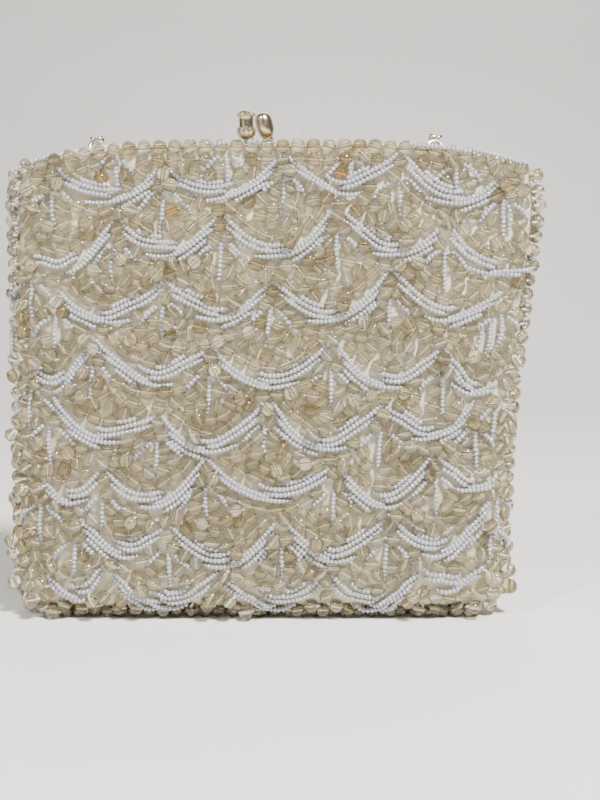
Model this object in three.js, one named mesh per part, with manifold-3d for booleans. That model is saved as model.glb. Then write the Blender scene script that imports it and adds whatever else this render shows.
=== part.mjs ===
// A beaded evening bag: a soft cloth pouch sewn all over with beads, on a concealed metal frame that closes
// with two kissing knobs, and with a chain handle that hangs down behind it.
// Millimetres, +Z up, the front faces -Y. The origin is the middle of the underside, where the bag stands.
import * as THREE from "three";
import { mergeVertices } from "three/addons/utils/BufferGeometryUtils.js";
import Module from "manifold-3d";

const wasm = await Module();
wasm.setup();

// The whole bag, measured over its beads.
const BAG_HEIGHT = 165; // at the middle of the top edge
const BAG_WIDTH = 186.5; // at the widest, just under the top corners
const BAG_DEPTH = 42; // at the belly
const CORNER_DROP = 8; // how far the top edge falls to its corners
const CORNER_CURVE = 4; // power of that fall
const LEAN = 5.2; // the soft top has settled this far to the right of the underside

// Cloth and beads.
const CLOTH_THICKNESS = 1.6; // satin, stiffening and thread together
const CLOTH_DROP = 1.5; // cloth edge below the top beads
const BEAD_DIAMETER = 5; // the clear beads, which set the thickness of the beading
const SEAT_GAP = 0.3; // between pieces that lie on each other
const SEAM_GAP = 0.3; // between the beaded panels along their seams

// Swags: the hanging crescents of small white beads, laid on the clear ones like fish scales.
const SWAG_PITCH = 39;
const SWAG_SHIFT = 4; // first peak, to the right of the middle
const SWAG_WIDTH = 5; // at the lowest point, two or three strands
const SWAG_TIP = 2; // at a peak, one strand
const SWAG_RISE = 1.4; // above the clear beads
const SWAG_SLOPE = 1; // width of each flank of the raised crescent
const COLUMNS_PER_SWAG = 8;

// The underside panel between the front and the back.
const BASE_INSET = 8.7; // from the ends of the flat underside
const BASE_DEPTH = 22;

// The frame: two flat rails bent down into arms, pinned together at their ends.
const RAIL_THICKNESS = 2.6;
const RAIL_HEIGHT = 6;
const RAIL_DROP = 5.5; // rail top below the top beads
const RAIL_MEET = 0.3; // between the closed rails
const FRAME_INSET = 3.6; // between the frame and the cloth at the nearer seam
const FRAME_SHIFT = -3.4; // the frame sits a little to the left of the top's middle
const FRAME_DEPTH = 40; // rail top to hinge
const FRAME_BEND = 14; // outer radius of its corners
const PIN_DIAMETER = 2.4;
const PIN_CLEARANCE = 0.3;
const PIN_HEAD = 0.8; // how far each end of a pin stands out of the arms

// The clasp: a knob on a post on each rail.
const KNOB_HEIGHT = 9.6;
const KNOB_DIAMETER = 6;
const KNOB_LIFT = 0.6; // knob above the top beads
const POST_DIAMETER = 2;
const CLASP_OFFSET = -6.2; // front knob, to the left of the frame's middle
const KNOB_GAP = 0.3; // where the two knobs kiss
const KNOB_RIM = 0.82; // where they kiss, as a share of their height
const KNOB_LEAN = 15; // degrees that the back knob leans on the front one
const FRONT_KNOB_LEAN = 2;

// Rings and chain.
const RING_INSET = 18.5; // from each end of the frame
const RING_RADIUS = 2.6; // to the middle of its wire
const RING_WIRE = 1.3;
const RING_LEAN = 25; // degrees towards the back
const LUG_WIDTH = 1.2;
const LUG_HOLE = 1.8;
const LUG_WALL = 0.8; // metal over the hole
const CHAIN_DIAMETER = 3;
const CHAIN_EASE = 1.3; // extra room where it bends over the edge
const CHAIN_SAG = 23; // parameter of its catenary; a smaller one hangs lower

// Sections of the bag from the underside up. up is a share of the height, wide of half BAG_WIDTH, lean of LEAN
// and belly of what BAG_DEPTH adds to the closed mouth. square is the power of each rounded-rectangle section.
const SECTIONS = [
  { up: 0.0, wide: 0.918, lean: 0.0, belly: 0.42, square: 5.0 },
  { up: 0.015, wide: 0.938, lean: 0.0, belly: 0.66, square: 4.6 },
  { up: 0.05, wide: 0.949, lean: 0.0, belly: 0.88, square: 4.2 },
  { up: 0.12, wide: 0.951, lean: 0.02, belly: 0.98, square: 3.8 },
  { up: 0.25, wide: 0.953, lean: 0.1, belly: 1.0, square: 3.5 },
  { up: 0.4, wide: 0.957, lean: 0.2, belly: 0.94, square: 3.4 },
  { up: 0.55, wide: 0.964, lean: 0.38, belly: 0.78, square: 3.4 },
  { up: 0.7, wide: 0.979, lean: 0.68, belly: 0.54, square: 3.8 },
  { up: 0.82, wide: 0.992, lean: 0.9, belly: 0.3, square: 4.6 },
  { up: 0.9, wide: 1.0, lean: 1.0, belly: 0.14, square: 5.6 },
  { up: 0.96, wide: 0.993, lean: 1.0, belly: 0.04, square: 7.0 },
  { up: 1.0, wide: 0.975, lean: 1.0, belly: 0.0, square: 8.0 },
];

// Rows of swags from the top down. peak and sag are shares of the bag's height, and shift is in pitches.
const SWAG_ROWS = [
  { peak: 0.96, sag: 0.072, shift: 0 },
  { peak: 0.832, sag: 0.066, shift: 0.5 },
  { peak: 0.704, sag: 0.07, shift: 0 },
  { peak: 0.566, sag: 0.067, shift: 0.5 },
  { peak: 0.44, sag: 0.068, shift: 0 },
  { peak: 0.323, sag: 0.07, shift: 0.5 },
  { peak: 0.202, sag: 0.062, shift: 0 },
  { peak: 0.098, sag: 0.05, shift: 0.5 },
];

// A knob's outline from its foot up: shares of its height and of its radius.
const KNOB_PROFILE = [
  { up: 0.0, wide: 0.5 },
  { up: 0.1, wide: 0.72 },
  { up: 0.3, wide: 0.97 },
  { up: 0.42, wide: 1.0 },
  { up: 0.45, wide: 0.86 },
  { up: 0.78, wide: 0.84 },
  { up: KNOB_RIM, wide: 1.0 },
  { up: 0.92, wide: 0.86 },
];

const MATERIALS = {
  cloth: new THREE.MeshStandardMaterial({ color: 0xe9e2cf, roughness: 0.75, metalness: 0 }),
  beading: new THREE.MeshStandardMaterial({ color: 0xd9d2b4, roughness: 0.2, metalness: 0 }),
  metal: new THREE.MeshStandardMaterial({ color: 0xcdb98a, roughness: 0.3, metalness: 1 }),
};

const MOUTH_HALF = RAIL_MEET / 2 + RAIL_THICKNESS + SEAT_GAP; // inside of the cloth at the closed mouth
const BEADING_OUT = CLOTH_THICKNESS + SEAT_GAP + BEAD_DIAMETER; // beading's face out from the inside of the cloth
const BELLY = BAG_DEPTH / 2 - BEADING_OUT - MOUTH_HALF;
const BASE_WIDTH = BAG_WIDTH * SECTIONS[0].wide - 2 * BASE_INSET;
const MOUTH_WIDTH = BAG_WIDTH * SECTIONS.at(-1).wide - 2 * BEADING_OUT; // inside the cloth
const FRAME_SPAN = MOUTH_WIDTH - 2 * (FRAME_INSET + Math.abs(FRAME_SHIFT));
const FRAME_MIDDLE = LEAN + FRAME_SHIFT;
const RING_REACH = FRAME_SPAN / 2 - RING_INSET; // from the frame's middle to each ring
const RAIL_TOP = BAG_HEIGHT - RAIL_DROP;

// The table's sections, read at any height.
function section(up) {
  const at = THREE.MathUtils.clamp(up, 0, 1);
  const above = Math.max(1, SECTIONS.findIndex((s) => s.up >= at));
  const [low, high] = [SECTIONS[above - 1], SECTIONS[above]];
  const t = (at - low.up) / (high.up - low.up);
  const mixed = (name) => THREE.MathUtils.lerp(low[name], high[name], t);
  return { wide: mixed("wide"), lean: mixed("lean"), belly: mixed("belly"), square: mixed("square") };
}

// The height of the top edge at f, from -1 at the left seam to 1 at the right one.
function topEdge(f) {
  return BAG_HEIGHT - CORNER_DROP * Math.abs(f) ** CORNER_CURVE;
}

// A point of the bag's form, out by so much from the inside of the cloth. side is -1 on the front, 1 on the back.
function formPoint(f, up, side, out, drop, rise = 0) {
  const { wide, lean, belly, square } = section(up);
  const floor = BEADING_OUT - out;
  const halfWidth = (BAG_WIDTH / 2) * wide - BEADING_OUT + out;
  const halfDepth = MOUTH_HALF + BELLY * belly + out;
  const y = halfDepth * (1 - Math.abs(f) ** square) ** (1 / square) + rise;
  return new THREE.Vector3(LEAN * lean + halfWidth * f, side * y, floor + up * (topEdge(f) - drop - floor));
}

function solidOf(geometry) {
  const bare = geometry.index ? geometry.toNonIndexed() : geometry.clone();
  for (const name of Object.keys(bare.attributes)) {
    if (name !== "position") bare.deleteAttribute(name);
  }
  const merged = mergeVertices(bare, 1e-4);
  const vertProperties = merged.attributes.position.array;
  return new wasm.Manifold(new wasm.Mesh({ numProp: 3, vertProperties, triVerts: new Uint32Array(merged.index.array) }));
}

function geometryOf(solid) {
  const { vertProperties, triVerts } = solid.getMesh();
  const geometry = new THREE.BufferGeometry();
  geometry.setAttribute("position", new THREE.BufferAttribute(new Float32Array(vertProperties), 3));
  geometry.setIndex(new THREE.BufferAttribute(new Uint32Array(triVerts), 1));
  return geometry;
}

function boxSolid(low, high) {
  const [size, middle] = [new THREE.Vector3(), new THREE.Vector3()];
  new THREE.Box3(low, high).getSize(size);
  new THREE.Box3(low, high).getCenter(middle);
  return solidOf(new THREE.BoxGeometry(size.x, size.y, size.z).translate(middle.x, middle.y, middle.z));
}

// A closed solid of rings stacked from the bottom up. columns are values of f from -1 to 1, and
// pointAt(column, line, side) gives each point. Front and back meet at the two seams.
function stackedSolid(columns, lines, pointAt) {
  const positions = [];
  const last = columns.length - 1;
  const quad = (a, b, c, d) => {
    for (const p of [a, b, c, a, c, d]) positions.push(p.x, p.y, p.z);
  };
  const grid = [-1, 1].map((side) => lines.map((line) => columns.map((f) => pointAt(f, line, side))));
  const [front, back] = grid;
  for (let j = 0; j < lines.length - 1; j += 1) {
    for (let i = 0; i < last; i += 1) {
      quad(front[j][i], front[j][i + 1], front[j + 1][i + 1], front[j + 1][i]);
      quad(back[j][i + 1], back[j][i], back[j + 1][i], back[j + 1][i + 1]);
    }
  }
  const [low, high] = [0, lines.length - 1];
  for (let i = 0; i < last; i += 1) {
    quad(front[low][i], back[low][i], back[low][i + 1], front[low][i + 1]);
    quad(front[high][i], front[high][i + 1], back[high][i + 1], back[high][i]);
  }
  // a seam point has the same place on both sides, so some triangles have no area
  const kept = [];
  const corner = (k) => new THREE.Vector3().fromArray(positions, k);
  for (let k = 0; k < positions.length; k += 9) {
    const [a, b, c] = [corner(k), corner(k + 3), corner(k + 6)];
    if (a.distanceTo(b) > 1e-4 && b.distanceTo(c) > 1e-4 && c.distanceTo(a) > 1e-4) {
      kept.push(...positions.slice(k, k + 9));
    }
  }
  const geometry = new THREE.BufferGeometry();
  geometry.setAttribute("position", new THREE.BufferAttribute(new Float32Array(kept), 3));
  return solidOf(geometry);
}

const PLAIN_COLUMNS = [-1, -0.985, -0.95, -0.88, -0.78, -0.5, -0.2, 0.2, 0.5, 0.78, 0.88, 0.95, 0.985, 1];
const OVER_THE_TOP = 1.15; // a cutter reaches past the edge that it opens

// The bag's form without swags. A cutter runs on past the top edge.
function plainForm(out, drop, past = false) {
  const lines = SECTIONS.map((s) => s.up);
  if (past) lines.push(OVER_THE_TOP);
  return stackedSolid(PLAIN_COLUMNS, lines, (f, up, side) => formPoint(f, up, side, out, drop));
}

// Columns on the swags' own pitch, closer together where the face turns in to the seams.
function swagColumns() {
  const step = SWAG_PITCH / COLUMNS_PER_SWAG;
  const half = (BAG_WIDTH / 2) * section(0.5).wide;
  const turn = 0.9;
  const from = Math.ceil((-turn * half - SWAG_SHIFT) / step);
  const to = Math.floor((turn * half - SWAG_SHIFT) / step);
  const middle = Array.from({ length: to - from + 1 }, (_, i) => (SWAG_SHIFT + (from + i) * step) / half);
  const ends = [0.935, 0.965, 0.985, 0.997, 1];
  return [...ends.map((f) => -f).reverse(), ...middle, ...ends];
}

// How far a swag hangs at f, from 0 at its peaks to 1 halfway between them, dying out at the seams.
function hang(f, shift) {
  const half = (BAG_WIDTH / 2) * section(0.5).wide;
  const turns = (f * half - SWAG_SHIFT) / SWAG_PITCH - shift;
  const across = 2 * (turns - Math.floor(turns)) - 1;
  const fade = 1 - THREE.MathUtils.smoothstep(Math.abs(f), 0.9, 1);
  return THREE.MathUtils.lerp(0.5, 1 - across * across, fade);
}

// The lines that a swag row adds: its two feet and the two edges of its raised top.
function swagLines(row) {
  const flanks = [
    { edge: -1, foot: 1, rise: 0 },
    { edge: -1, foot: 0, rise: SWAG_RISE },
    { edge: 1, foot: 0, rise: SWAG_RISE },
    { edge: 1, foot: 1, rise: 0 },
  ];
  return flanks.map(({ edge, foot, rise }) => ({
    upAt: (f) => {
      const drop = hang(f, row.shift);
      const half = THREE.MathUtils.lerp(SWAG_TIP, SWAG_WIDTH, drop) / 2;
      return row.peak - row.sag * drop + (edge * (half + foot * SWAG_SLOPE)) / BAG_HEIGHT;
    },
    rise,
  }));
}

// The outside of the beading: the bag's form with its rows of raised swags.
function beadedForm() {
  const lines = [
    ...[0, 0.012, 0.028].map((up) => ({ upAt: () => up, rise: 0 })),
    ...[...SWAG_ROWS].reverse().flatMap(swagLines),
    { upAt: () => 1, rise: 0 },
  ];
  const faded = (f) => 1 - THREE.MathUtils.smoothstep(Math.abs(f), 0.93, 0.99);
  return stackedSolid(swagColumns(), lines, (f, line, side) =>
    formPoint(f, line.upAt(f), side, BEADING_OUT, 0, line.rise * faded(f)),
  );
}

function makePouch() {
  return plainForm(CLOTH_THICKNESS, CLOTH_DROP).subtract(plainForm(0, CLOTH_DROP, true));
}

// The three beaded panels: front, back and underside.
function makeBeading() {
  const shell = beadedForm().subtract(plainForm(CLOTH_THICKNESS + SEAT_GAP, 0, true));
  const reach = 2 * (BAG_WIDTH + BAG_HEIGHT);
  const under = BEAD_DIAMETER + CLOTH_THICKNESS;
  const panel = (grow) =>
    boxSolid(
      new THREE.Vector3(-BASE_WIDTH / 2 - grow, -BASE_DEPTH / 2 - grow, -reach),
      new THREE.Vector3(BASE_WIDTH / 2 + grow, BASE_DEPTH / 2 + grow, under),
    );
  const half = (side) => {
    const near = (side * SEAM_GAP) / 2;
    const far = side * reach;
    return boxSolid(
      new THREE.Vector3(-reach, Math.min(near, far), -reach),
      new THREE.Vector3(reach, Math.max(near, far), reach),
    );
  };
  const sides = shell.subtract(panel(SEAM_GAP));
  return { front: sides.intersect(half(-1)), back: sides.intersect(half(1)), base: shell.intersect(panel(0)) };
}

// One half of the frame, side -1 in front and 1 behind, without what is soldered to it.
function frameHalf(side) {
  const half = FRAME_SPAN / 2;
  const hinge = RAIL_TOP - FRAME_DEPTH;
  const end = RAIL_HEIGHT / 2;
  const bend = FRAME_BEND;
  const inner = FRAME_BEND - RAIL_HEIGHT;
  const outline = new THREE.Shape();
  outline.moveTo(-half, hinge);
  outline.absarc(-half + end, hinge, end, Math.PI, 2 * Math.PI, false);
  outline.lineTo(-half + RAIL_HEIGHT, RAIL_TOP - bend);
  outline.absarc(-half + bend, RAIL_TOP - bend, inner, Math.PI, Math.PI / 2, true);
  outline.lineTo(half - bend, RAIL_TOP - RAIL_HEIGHT);
  outline.absarc(half - bend, RAIL_TOP - bend, inner, Math.PI / 2, 0, true);
  outline.lineTo(half - RAIL_HEIGHT, hinge);
  outline.absarc(half - end, hinge, end, Math.PI, 2 * Math.PI, false);
  outline.lineTo(half, RAIL_TOP - bend);
  outline.absarc(half - bend, RAIL_TOP - bend, bend, 0, Math.PI / 2, false);
  outline.lineTo(-half + bend, RAIL_TOP);
  outline.absarc(-half + bend, RAIL_TOP - bend, bend, Math.PI / 2, Math.PI, false);
  for (const x of [-half + end, half - end]) {
    const hole = new THREE.Path();
    hole.absarc(x, hinge, PIN_DIAMETER / 2 + PIN_CLEARANCE, 0, 2 * Math.PI, true);
    outline.holes.push(hole);
  }
  const geometry = new THREE.ExtrudeGeometry(outline, { depth: RAIL_THICKNESS, bevelEnabled: false, curveSegments: 6 });
  geometry.rotateX(Math.PI / 2); // the outline stands up, and its thickness runs from y = 0 to -RAIL_THICKNESS
  const near = RAIL_MEET / 2;
  geometry.translate(FRAME_MIDDLE, side < 0 ? -near : near + RAIL_THICKNESS, 0);
  return solidOf(geometry);
}

// The lug on the back rail that a ring passes through.
function lugSolid(side) {
  const near = RAIL_MEET / 2;
  const height = LUG_HOLE + LUG_WALL;
  const sunk = RAIL_HEIGHT / 2;
  const x = FRAME_MIDDLE + side * RING_REACH;
  const block = boxSolid(
    new THREE.Vector3(x - LUG_WIDTH / 2, near, RAIL_TOP - sunk),
    new THREE.Vector3(x + LUG_WIDTH / 2, near + RAIL_THICKNESS, RAIL_TOP + height),
  );
  const hole = new THREE.CylinderGeometry(LUG_HOLE / 2, LUG_HOLE / 2, 3 * LUG_WIDTH, 12);
  hole.rotateZ(Math.PI / 2);
  hole.translate(x, near + RAIL_THICKNESS / 2, RAIL_TOP + LUG_HOLE / 2);
  return block.subtract(solidOf(hole));
}

function pinGeometry(side) {
  const length = 2 * (RAIL_THICKNESS + PIN_HEAD) + RAIL_MEET;
  const geometry = new THREE.CylinderGeometry(PIN_DIAMETER / 2, PIN_DIAMETER / 2, length, 12);
  geometry.translate(FRAME_MIDDLE + side * (FRAME_SPAN / 2 - RAIL_HEIGHT / 2), 0, RAIL_TOP - FRAME_DEPTH);
  return geometry;
}

// A knob on its post, standing on the origin.
function knobSolid() {
  const lift = RAIL_DROP + KNOB_LIFT - SEAT_GAP;
  const sides = 16;
  const outline = [new THREE.Vector2(0, 0), new THREE.Vector2(POST_DIAMETER / 2, 0)];
  outline.push(new THREE.Vector2(POST_DIAMETER / 2, lift));
  for (const { up, wide } of KNOB_PROFILE) {
    outline.push(new THREE.Vector2((wide * KNOB_DIAMETER) / 2, lift + up * KNOB_HEIGHT));
  }
  outline.push(new THREE.Vector2(0, lift + KNOB_HEIGHT));
  return new THREE.LatheGeometry(outline, sides).rotateX(Math.PI / 2);
}

// Where the ring hangs: the middle of its wire at the lug's hole.
function ringFoot(side) {
  const y = RAIL_MEET / 2 + RAIL_THICKNESS / 2;
  return new THREE.Vector3(FRAME_MIDDLE + side * RING_REACH, y, RAIL_TOP + LUG_HOLE / 2);
}

function ringGeometry() {
  const geometry = new THREE.TorusGeometry(RING_RADIUS, RING_WIRE / 2, 6, 12);
  geometry.rotateX(Math.PI / 2); // it stands in the plane of the rails
  geometry.translate(0, 0, RING_RADIUS);
  geometry.rotateX(-THREE.MathUtils.degToRad(RING_LEAN));
  return geometry;
}

// The share across the beading's face where x lies.
function shareAt(x, up) {
  const { wide, lean } = section(up);
  return (x - LEAN * lean) / ((BAG_WIDTH / 2) * wide);
}

// The chain's middle line: from the right ring over the back edge, down the back in a catenary and up again.
function chainRoute() {
  const radius = CHAIN_DIAMETER / 2;
  const clear = radius + SEAT_GAP;
  const bend = clear + CHAIN_EASE;
  const ringBack = 2 * RING_RADIUS * Math.sin(THREE.MathUtils.degToRad(RING_LEAN)) + RING_WIRE / 2;
  const full = Math.sinh(RING_REACH / CHAIN_SAG);
  const stations = 13;
  const run = (side) => {
    const x = FRAME_MIDDLE + side * RING_REACH;
    const edge = formPoint(shareAt(x, 1), 1, 1, BEADING_OUT, 0);
    const start = new THREE.Vector3(x, ringFoot(side).y + ringBack + SEAT_GAP, edge.z + bend);
    const over = [0.5, 0.25, 0].map((turn) => {
      const angle = turn * Math.PI;
      return new THREE.Vector3(x, edge.y + bend * Math.cos(angle), edge.z + bend * Math.sin(angle));
    });
    const hung = topEdge(RING_REACH / (BAG_WIDTH / 2)) - CHAIN_DIAMETER;
    // equal steps along a catenary are equal steps of sinh
    const hanging = Array.from({ length: stations }, (_, i) => {
      const reach = CHAIN_SAG * Math.asinh(full * (1 - i / (stations - 1)));
      const z = hung + CHAIN_SAG * (Math.cosh(reach / CHAIN_SAG) - Math.cosh(RING_REACH / CHAIN_SAG));
      const up = z / topEdge(0);
      const at = FRAME_MIDDLE + side * reach;
      const { y } = formPoint(shareAt(at, up), up, 1, BEADING_OUT, 0);
      return new THREE.Vector3(at, y + SWAG_RISE + clear, z);
    });
    return [start, ...over, ...hanging];
  };
  return [...run(1), ...run(-1).slice(0, -1).reverse()];
}

function chainGeometry() {
  const sides = 8;
  const ring = Array.from({ length: sides }, (_, i) => {
    const angle = (2 * Math.PI * (i + 0.5)) / sides;
    return new THREE.Vector2(Math.cos(angle), Math.sin(angle)).multiplyScalar(CHAIN_DIAMETER / 2);
  });
  const extrudePath = new THREE.CatmullRomCurve3(chainRoute(), false, "centripetal");
  return new THREE.ExtrudeGeometry(new THREE.Shape(ring), { steps: 56, bevelEnabled: false, extrudePath });
}

function piece(name, geometry, material) {
  const mesh = new THREE.Mesh(geometry, material);
  mesh.name = name;
  return mesh;
}

const bag = new THREE.Group();

const beading = makeBeading();
bag.add(piece("pouch", geometryOf(makePouch()), MATERIALS.cloth));
bag.add(piece("front_beading", geometryOf(beading.front), MATERIALS.beading));
bag.add(piece("back_beading", geometryOf(beading.back), MATERIALS.beading));
bag.add(piece("base_beading", geometryOf(beading.base), MATERIALS.beading));

const backFrame = [-1, 1].reduce((frame, side) => frame.add(lugSolid(side)), frameHalf(1));
bag.add(piece("front_frame", geometryOf(frameHalf(-1)), MATERIALS.metal));
bag.add(piece("back_frame", geometryOf(backFrame), MATERIALS.metal));

for (const [word, side] of [["left", -1], ["right", 1]]) {
  bag.add(piece(`${word}_hinge_pin`, pinGeometry(side), MATERIALS.metal));
  const ring = piece(`${word}_ring`, ringGeometry(), MATERIALS.metal);
  ring.position.copy(ringFoot(side));
  bag.add(ring);
}

const railMiddle = (RAIL_MEET + RAIL_THICKNESS) / 2;
const lean = (degrees) => THREE.MathUtils.degToRad(-degrees);
const frontKnob = piece("front_knob", knobSolid(), MATERIALS.metal);
frontKnob.position.set(FRAME_MIDDLE + CLASP_OFFSET, -railMiddle, RAIL_TOP + SEAT_GAP);
frontKnob.rotation.y = lean(FRONT_KNOB_LEAN);
bag.add(frontKnob);

// the knobs stand on different rails and meet at their rims
const rimHeight = RAIL_DROP + KNOB_LIFT + KNOB_RIM * KNOB_HEIGHT;
const rimsApart = Math.sqrt((KNOB_DIAMETER + KNOB_GAP) ** 2 - (2 * railMiddle) ** 2);
const feetApart = rimsApart + rimHeight * (Math.sin(lean(FRONT_KNOB_LEAN)) - Math.sin(lean(KNOB_LEAN)));
const backKnob = piece("back_knob", knobSolid(), MATERIALS.metal);
backKnob.position.set(frontKnob.position.x + feetApart, railMiddle, RAIL_TOP + SEAT_GAP);
backKnob.rotation.y = lean(KNOB_LEAN);
bag.add(backKnob);

bag.add(piece("chain", chainGeometry(), MATERIALS.metal));

export default bag;
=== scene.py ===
"""A soft evening bag sewn all over with clear glass beads and swags of small pearly beads."""

import functools
import math
import random

import bmesh
import bpy
import numpy as np
from bpy.props import FloatProperty, FloatVectorProperty, IntProperty, PointerProperty
from mathutils import Matrix, Vector


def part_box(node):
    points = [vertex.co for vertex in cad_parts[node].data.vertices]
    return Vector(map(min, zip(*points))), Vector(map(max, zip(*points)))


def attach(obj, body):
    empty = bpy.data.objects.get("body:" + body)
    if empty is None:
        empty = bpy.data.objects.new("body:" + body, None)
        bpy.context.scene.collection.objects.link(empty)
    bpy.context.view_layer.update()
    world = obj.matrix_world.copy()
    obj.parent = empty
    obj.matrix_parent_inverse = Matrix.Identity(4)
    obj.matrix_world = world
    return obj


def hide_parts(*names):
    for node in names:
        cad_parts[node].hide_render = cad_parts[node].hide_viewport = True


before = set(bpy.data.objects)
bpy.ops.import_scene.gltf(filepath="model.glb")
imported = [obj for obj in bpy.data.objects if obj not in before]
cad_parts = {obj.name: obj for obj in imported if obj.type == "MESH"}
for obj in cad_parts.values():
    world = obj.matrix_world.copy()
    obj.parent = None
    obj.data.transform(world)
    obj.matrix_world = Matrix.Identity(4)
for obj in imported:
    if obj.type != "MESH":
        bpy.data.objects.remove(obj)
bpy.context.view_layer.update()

bl_info = {
    "name": "Beaded bag",
    "version": (1, 0, 0),
    "blender": (4, 5, 0),
    "location": "View3D > Sidebar > Beaded bag",
    "description": "Strings beads over a soft evening bag and finishes its cloth and metal",
    "category": "Add Mesh",
}

MM = 0.001
BEADING_LOW, BEADING_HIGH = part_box("front_beading")
FRONT, BACK = -1, 1


# Sizes and colours

def length(name, description, default):
    return FloatProperty(name=name, description=description, default=default, unit="LENGTH", precision=5)


def angle(name, description, degrees):
    return FloatProperty(name=name, description=description, default=math.radians(degrees), subtype="ANGLE")


def whole(name, description, default):
    return IntProperty(name=name, description=description, default=default, min=0)


def colour(name, description, default):
    return FloatVectorProperty(
        name=name, description=description, default=default, size=3, min=0, max=1, subtype="COLOR"
    )


class BagForm(bpy.types.PropertyGroup):
    """The soft bag itself, as it was built."""

    height: length("Height", "Underside to the top edge over the beads", BEADING_HIGH.z - BEADING_LOW.z)
    width: length("Width", "Widest, over the beads", 0.1865)
    lean: length("Lean", "How far the soft top has settled to the right", 0.0052)
    depth: length("Depth", "At the belly, over the clear beads", 0.042)
    corner_drop: length("Corner drop", "Fall of the top edge to its corners", 0.008)
    cloth: length("Cloth", "Thickness of satin, stiffening and thread", 0.0016)
    cloth_drop: length("Cloth drop", "Cloth edge below the top beads", 0.0015)
    beading: length("Beading", "Thickness of the clear beads with their seat", 0.0053)
    mouth: length("Mouth", "Half the room inside the cloth at the closed mouth", 0.00305)


class BeadSizes(bpy.types.PropertyGroup):
    """The beads and their threads."""

    clear: length("Clear bead", "Diameter of a clear bead", 0.005)
    bore: length("Bore", "Diameter of the hole through a clear bead", 0.00105)
    seed: length("Small bead", "Diameter of a small pearly bead", 0.0019)
    seed_pitch: length("Small bead pitch", "From one small bead to the next on their thread", 0.00138)
    thread: length("Thread", "Diameter of the sewing thread", 0.0008)
    lay: whole("Lay", "Seed of the beads' random lay", 7)
    swag_lift: length("Swag lift", "Middle of a swag's small beads above the cloth", 0.0034)
    top_layer: whole("Top layer", "Tries at beads in the hollows of each side", 1100)


class MetalSizes(bpy.types.PropertyGroup):
    """The clasp, the rings and the chain."""

    rail_top: length("Rail top", "Height of the frame's rails, from which knobs and rings stand", 0.1595)
    rail_middle: length("Rail middle", "Middle of each rail, out from the closed mouth", 0.00145)
    knob_foot: length("Knob foot", "Foot of the post above its rail", 0.0003)
    front_foot: length("Front foot", "Foot of the front knob, across", -0.0044)
    back_foot: length("Back foot", "Foot of the back knob, across", 0.00432)
    front_lean: angle("Front lean", "Front knob to the left", 2)
    back_lean: angle("Back lean", "Back knob to the left", 15)
    ring_radius: length("Ring radius", "To the middle of a ring's band", 0.00245)
    ring_band: length("Ring band", "Thickness of a ring's rounded band", 0.0015)
    ring_lean: angle("Ring lean", "Rings towards the back", 25)
    link: length("Link", "Length of a chain link", 0.0056)
    link_width: length("Link width", "Width of a chain link", 0.0042)
    link_wire: length("Link wire", "Thickness of a chain link's wire", 0.001)
    chain_sag: length("Chain sag", "Parameter of the hanging chain's catenary", 0.023)
    chain_out: length("Chain out", "Middle of the chain out from the back's beads", 0.0032)
    chain_over: length("Chain over", "Middle of the chain above the top edge that it bends over", 0.0031)


class Finishes(bpy.types.PropertyGroup):
    """Colours of the materials."""

    satin: colour("Satin", "Cream satin", (0.68, 0.61, 0.46))
    stain: colour("Stain", "Rust stains on the satin", (0.42, 0.23, 0.09))
    glass: colour("Glass", "Clear champagne glass", (0.85, 0.79, 0.62))
    pale_glass: colour("Pale glass", "The palest clear beads", (0.97, 0.94, 0.85))
    deep_glass: colour("Deep glass", "The deepest clear beads", (0.66, 0.57, 0.37))
    # Painted shade: the dark colour that the clear beads' base colour is multiplied towards at their rims, where
    # the surface turns away from the view.
    rim: colour("Rim", "What the rims of the clear beads are deepened by", (0.16, 0.13, 0.08))
    amber: colour("Amber", "Beads stained amber", (0.80, 0.60, 0.34))
    pearl: colour("Pearl", "Small white beads", (0.45, 0.45, 0.46))
    lilac: colour("Lilac", "Small beads with a lilac lustre", (0.42, 0.39, 0.47))
    green: colour("Green", "Small beads with a greenish lustre", (0.40, 0.45, 0.40))
    thread: colour("Thread", "Sewing thread", (0.86, 0.81, 0.66))
    gold: colour("Champagne gold", "Plated metal", (0.66, 0.54, 0.34))
    worn: colour("Worn metal", "Where the plating has worn pale", (0.78, 0.76, 0.70))
    floor: colour("Floor", "Studio floor", (0.80, 0.79, 0.77))


class StudioView(bpy.types.PropertyGroup):
    """The camera's place in front of the bag."""

    distance: length("Distance", "Camera to the middle of the bag", 0.4)
    elevation: angle("Elevation", "Above the level", 6)
    roll: angle("Roll", "Turn about the view", 0)
    aim_x: length("Aim across", "Point looked at, from the bag's middle", 0.0136)
    aim_z: length("Aim up", "Point looked at, above the underside", 0.0756)
    lens: FloatProperty(name="Lens", description="Focal length in millimetres", default=51.15)


GROUPS = {"bag_form": BagForm, "bag_beads": BeadSizes, "bag_metal": MetalSizes, "bag_finish": Finishes,
          "bag_view": StudioView}


# The bag's form

# Sections from the underside up: shares of the height, half the width, the lean and the belly, and the
# power of each rounded-rectangle section.
SECTIONS = np.array([
    (0.0, 0.918, 0.0, 0.42, 5.0),
    (0.015, 0.938, 0.0, 0.66, 4.6),
    (0.05, 0.949, 0.0, 0.88, 4.2),
    (0.12, 0.951, 0.02, 0.98, 3.8),
    (0.25, 0.953, 0.1, 1.0, 3.5),
    (0.4, 0.957, 0.2, 0.94, 3.4),
    (0.55, 0.964, 0.38, 0.78, 3.4),
    (0.7, 0.979, 0.68, 0.54, 3.8),
    (0.82, 0.992, 0.9, 0.3, 4.6),
    (0.9, 1.0, 1.0, 0.14, 5.6),
    (0.96, 0.993, 1.0, 0.04, 7.0),
    (1.0, 0.975, 1.0, 0.0, 8.0),
])


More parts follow.
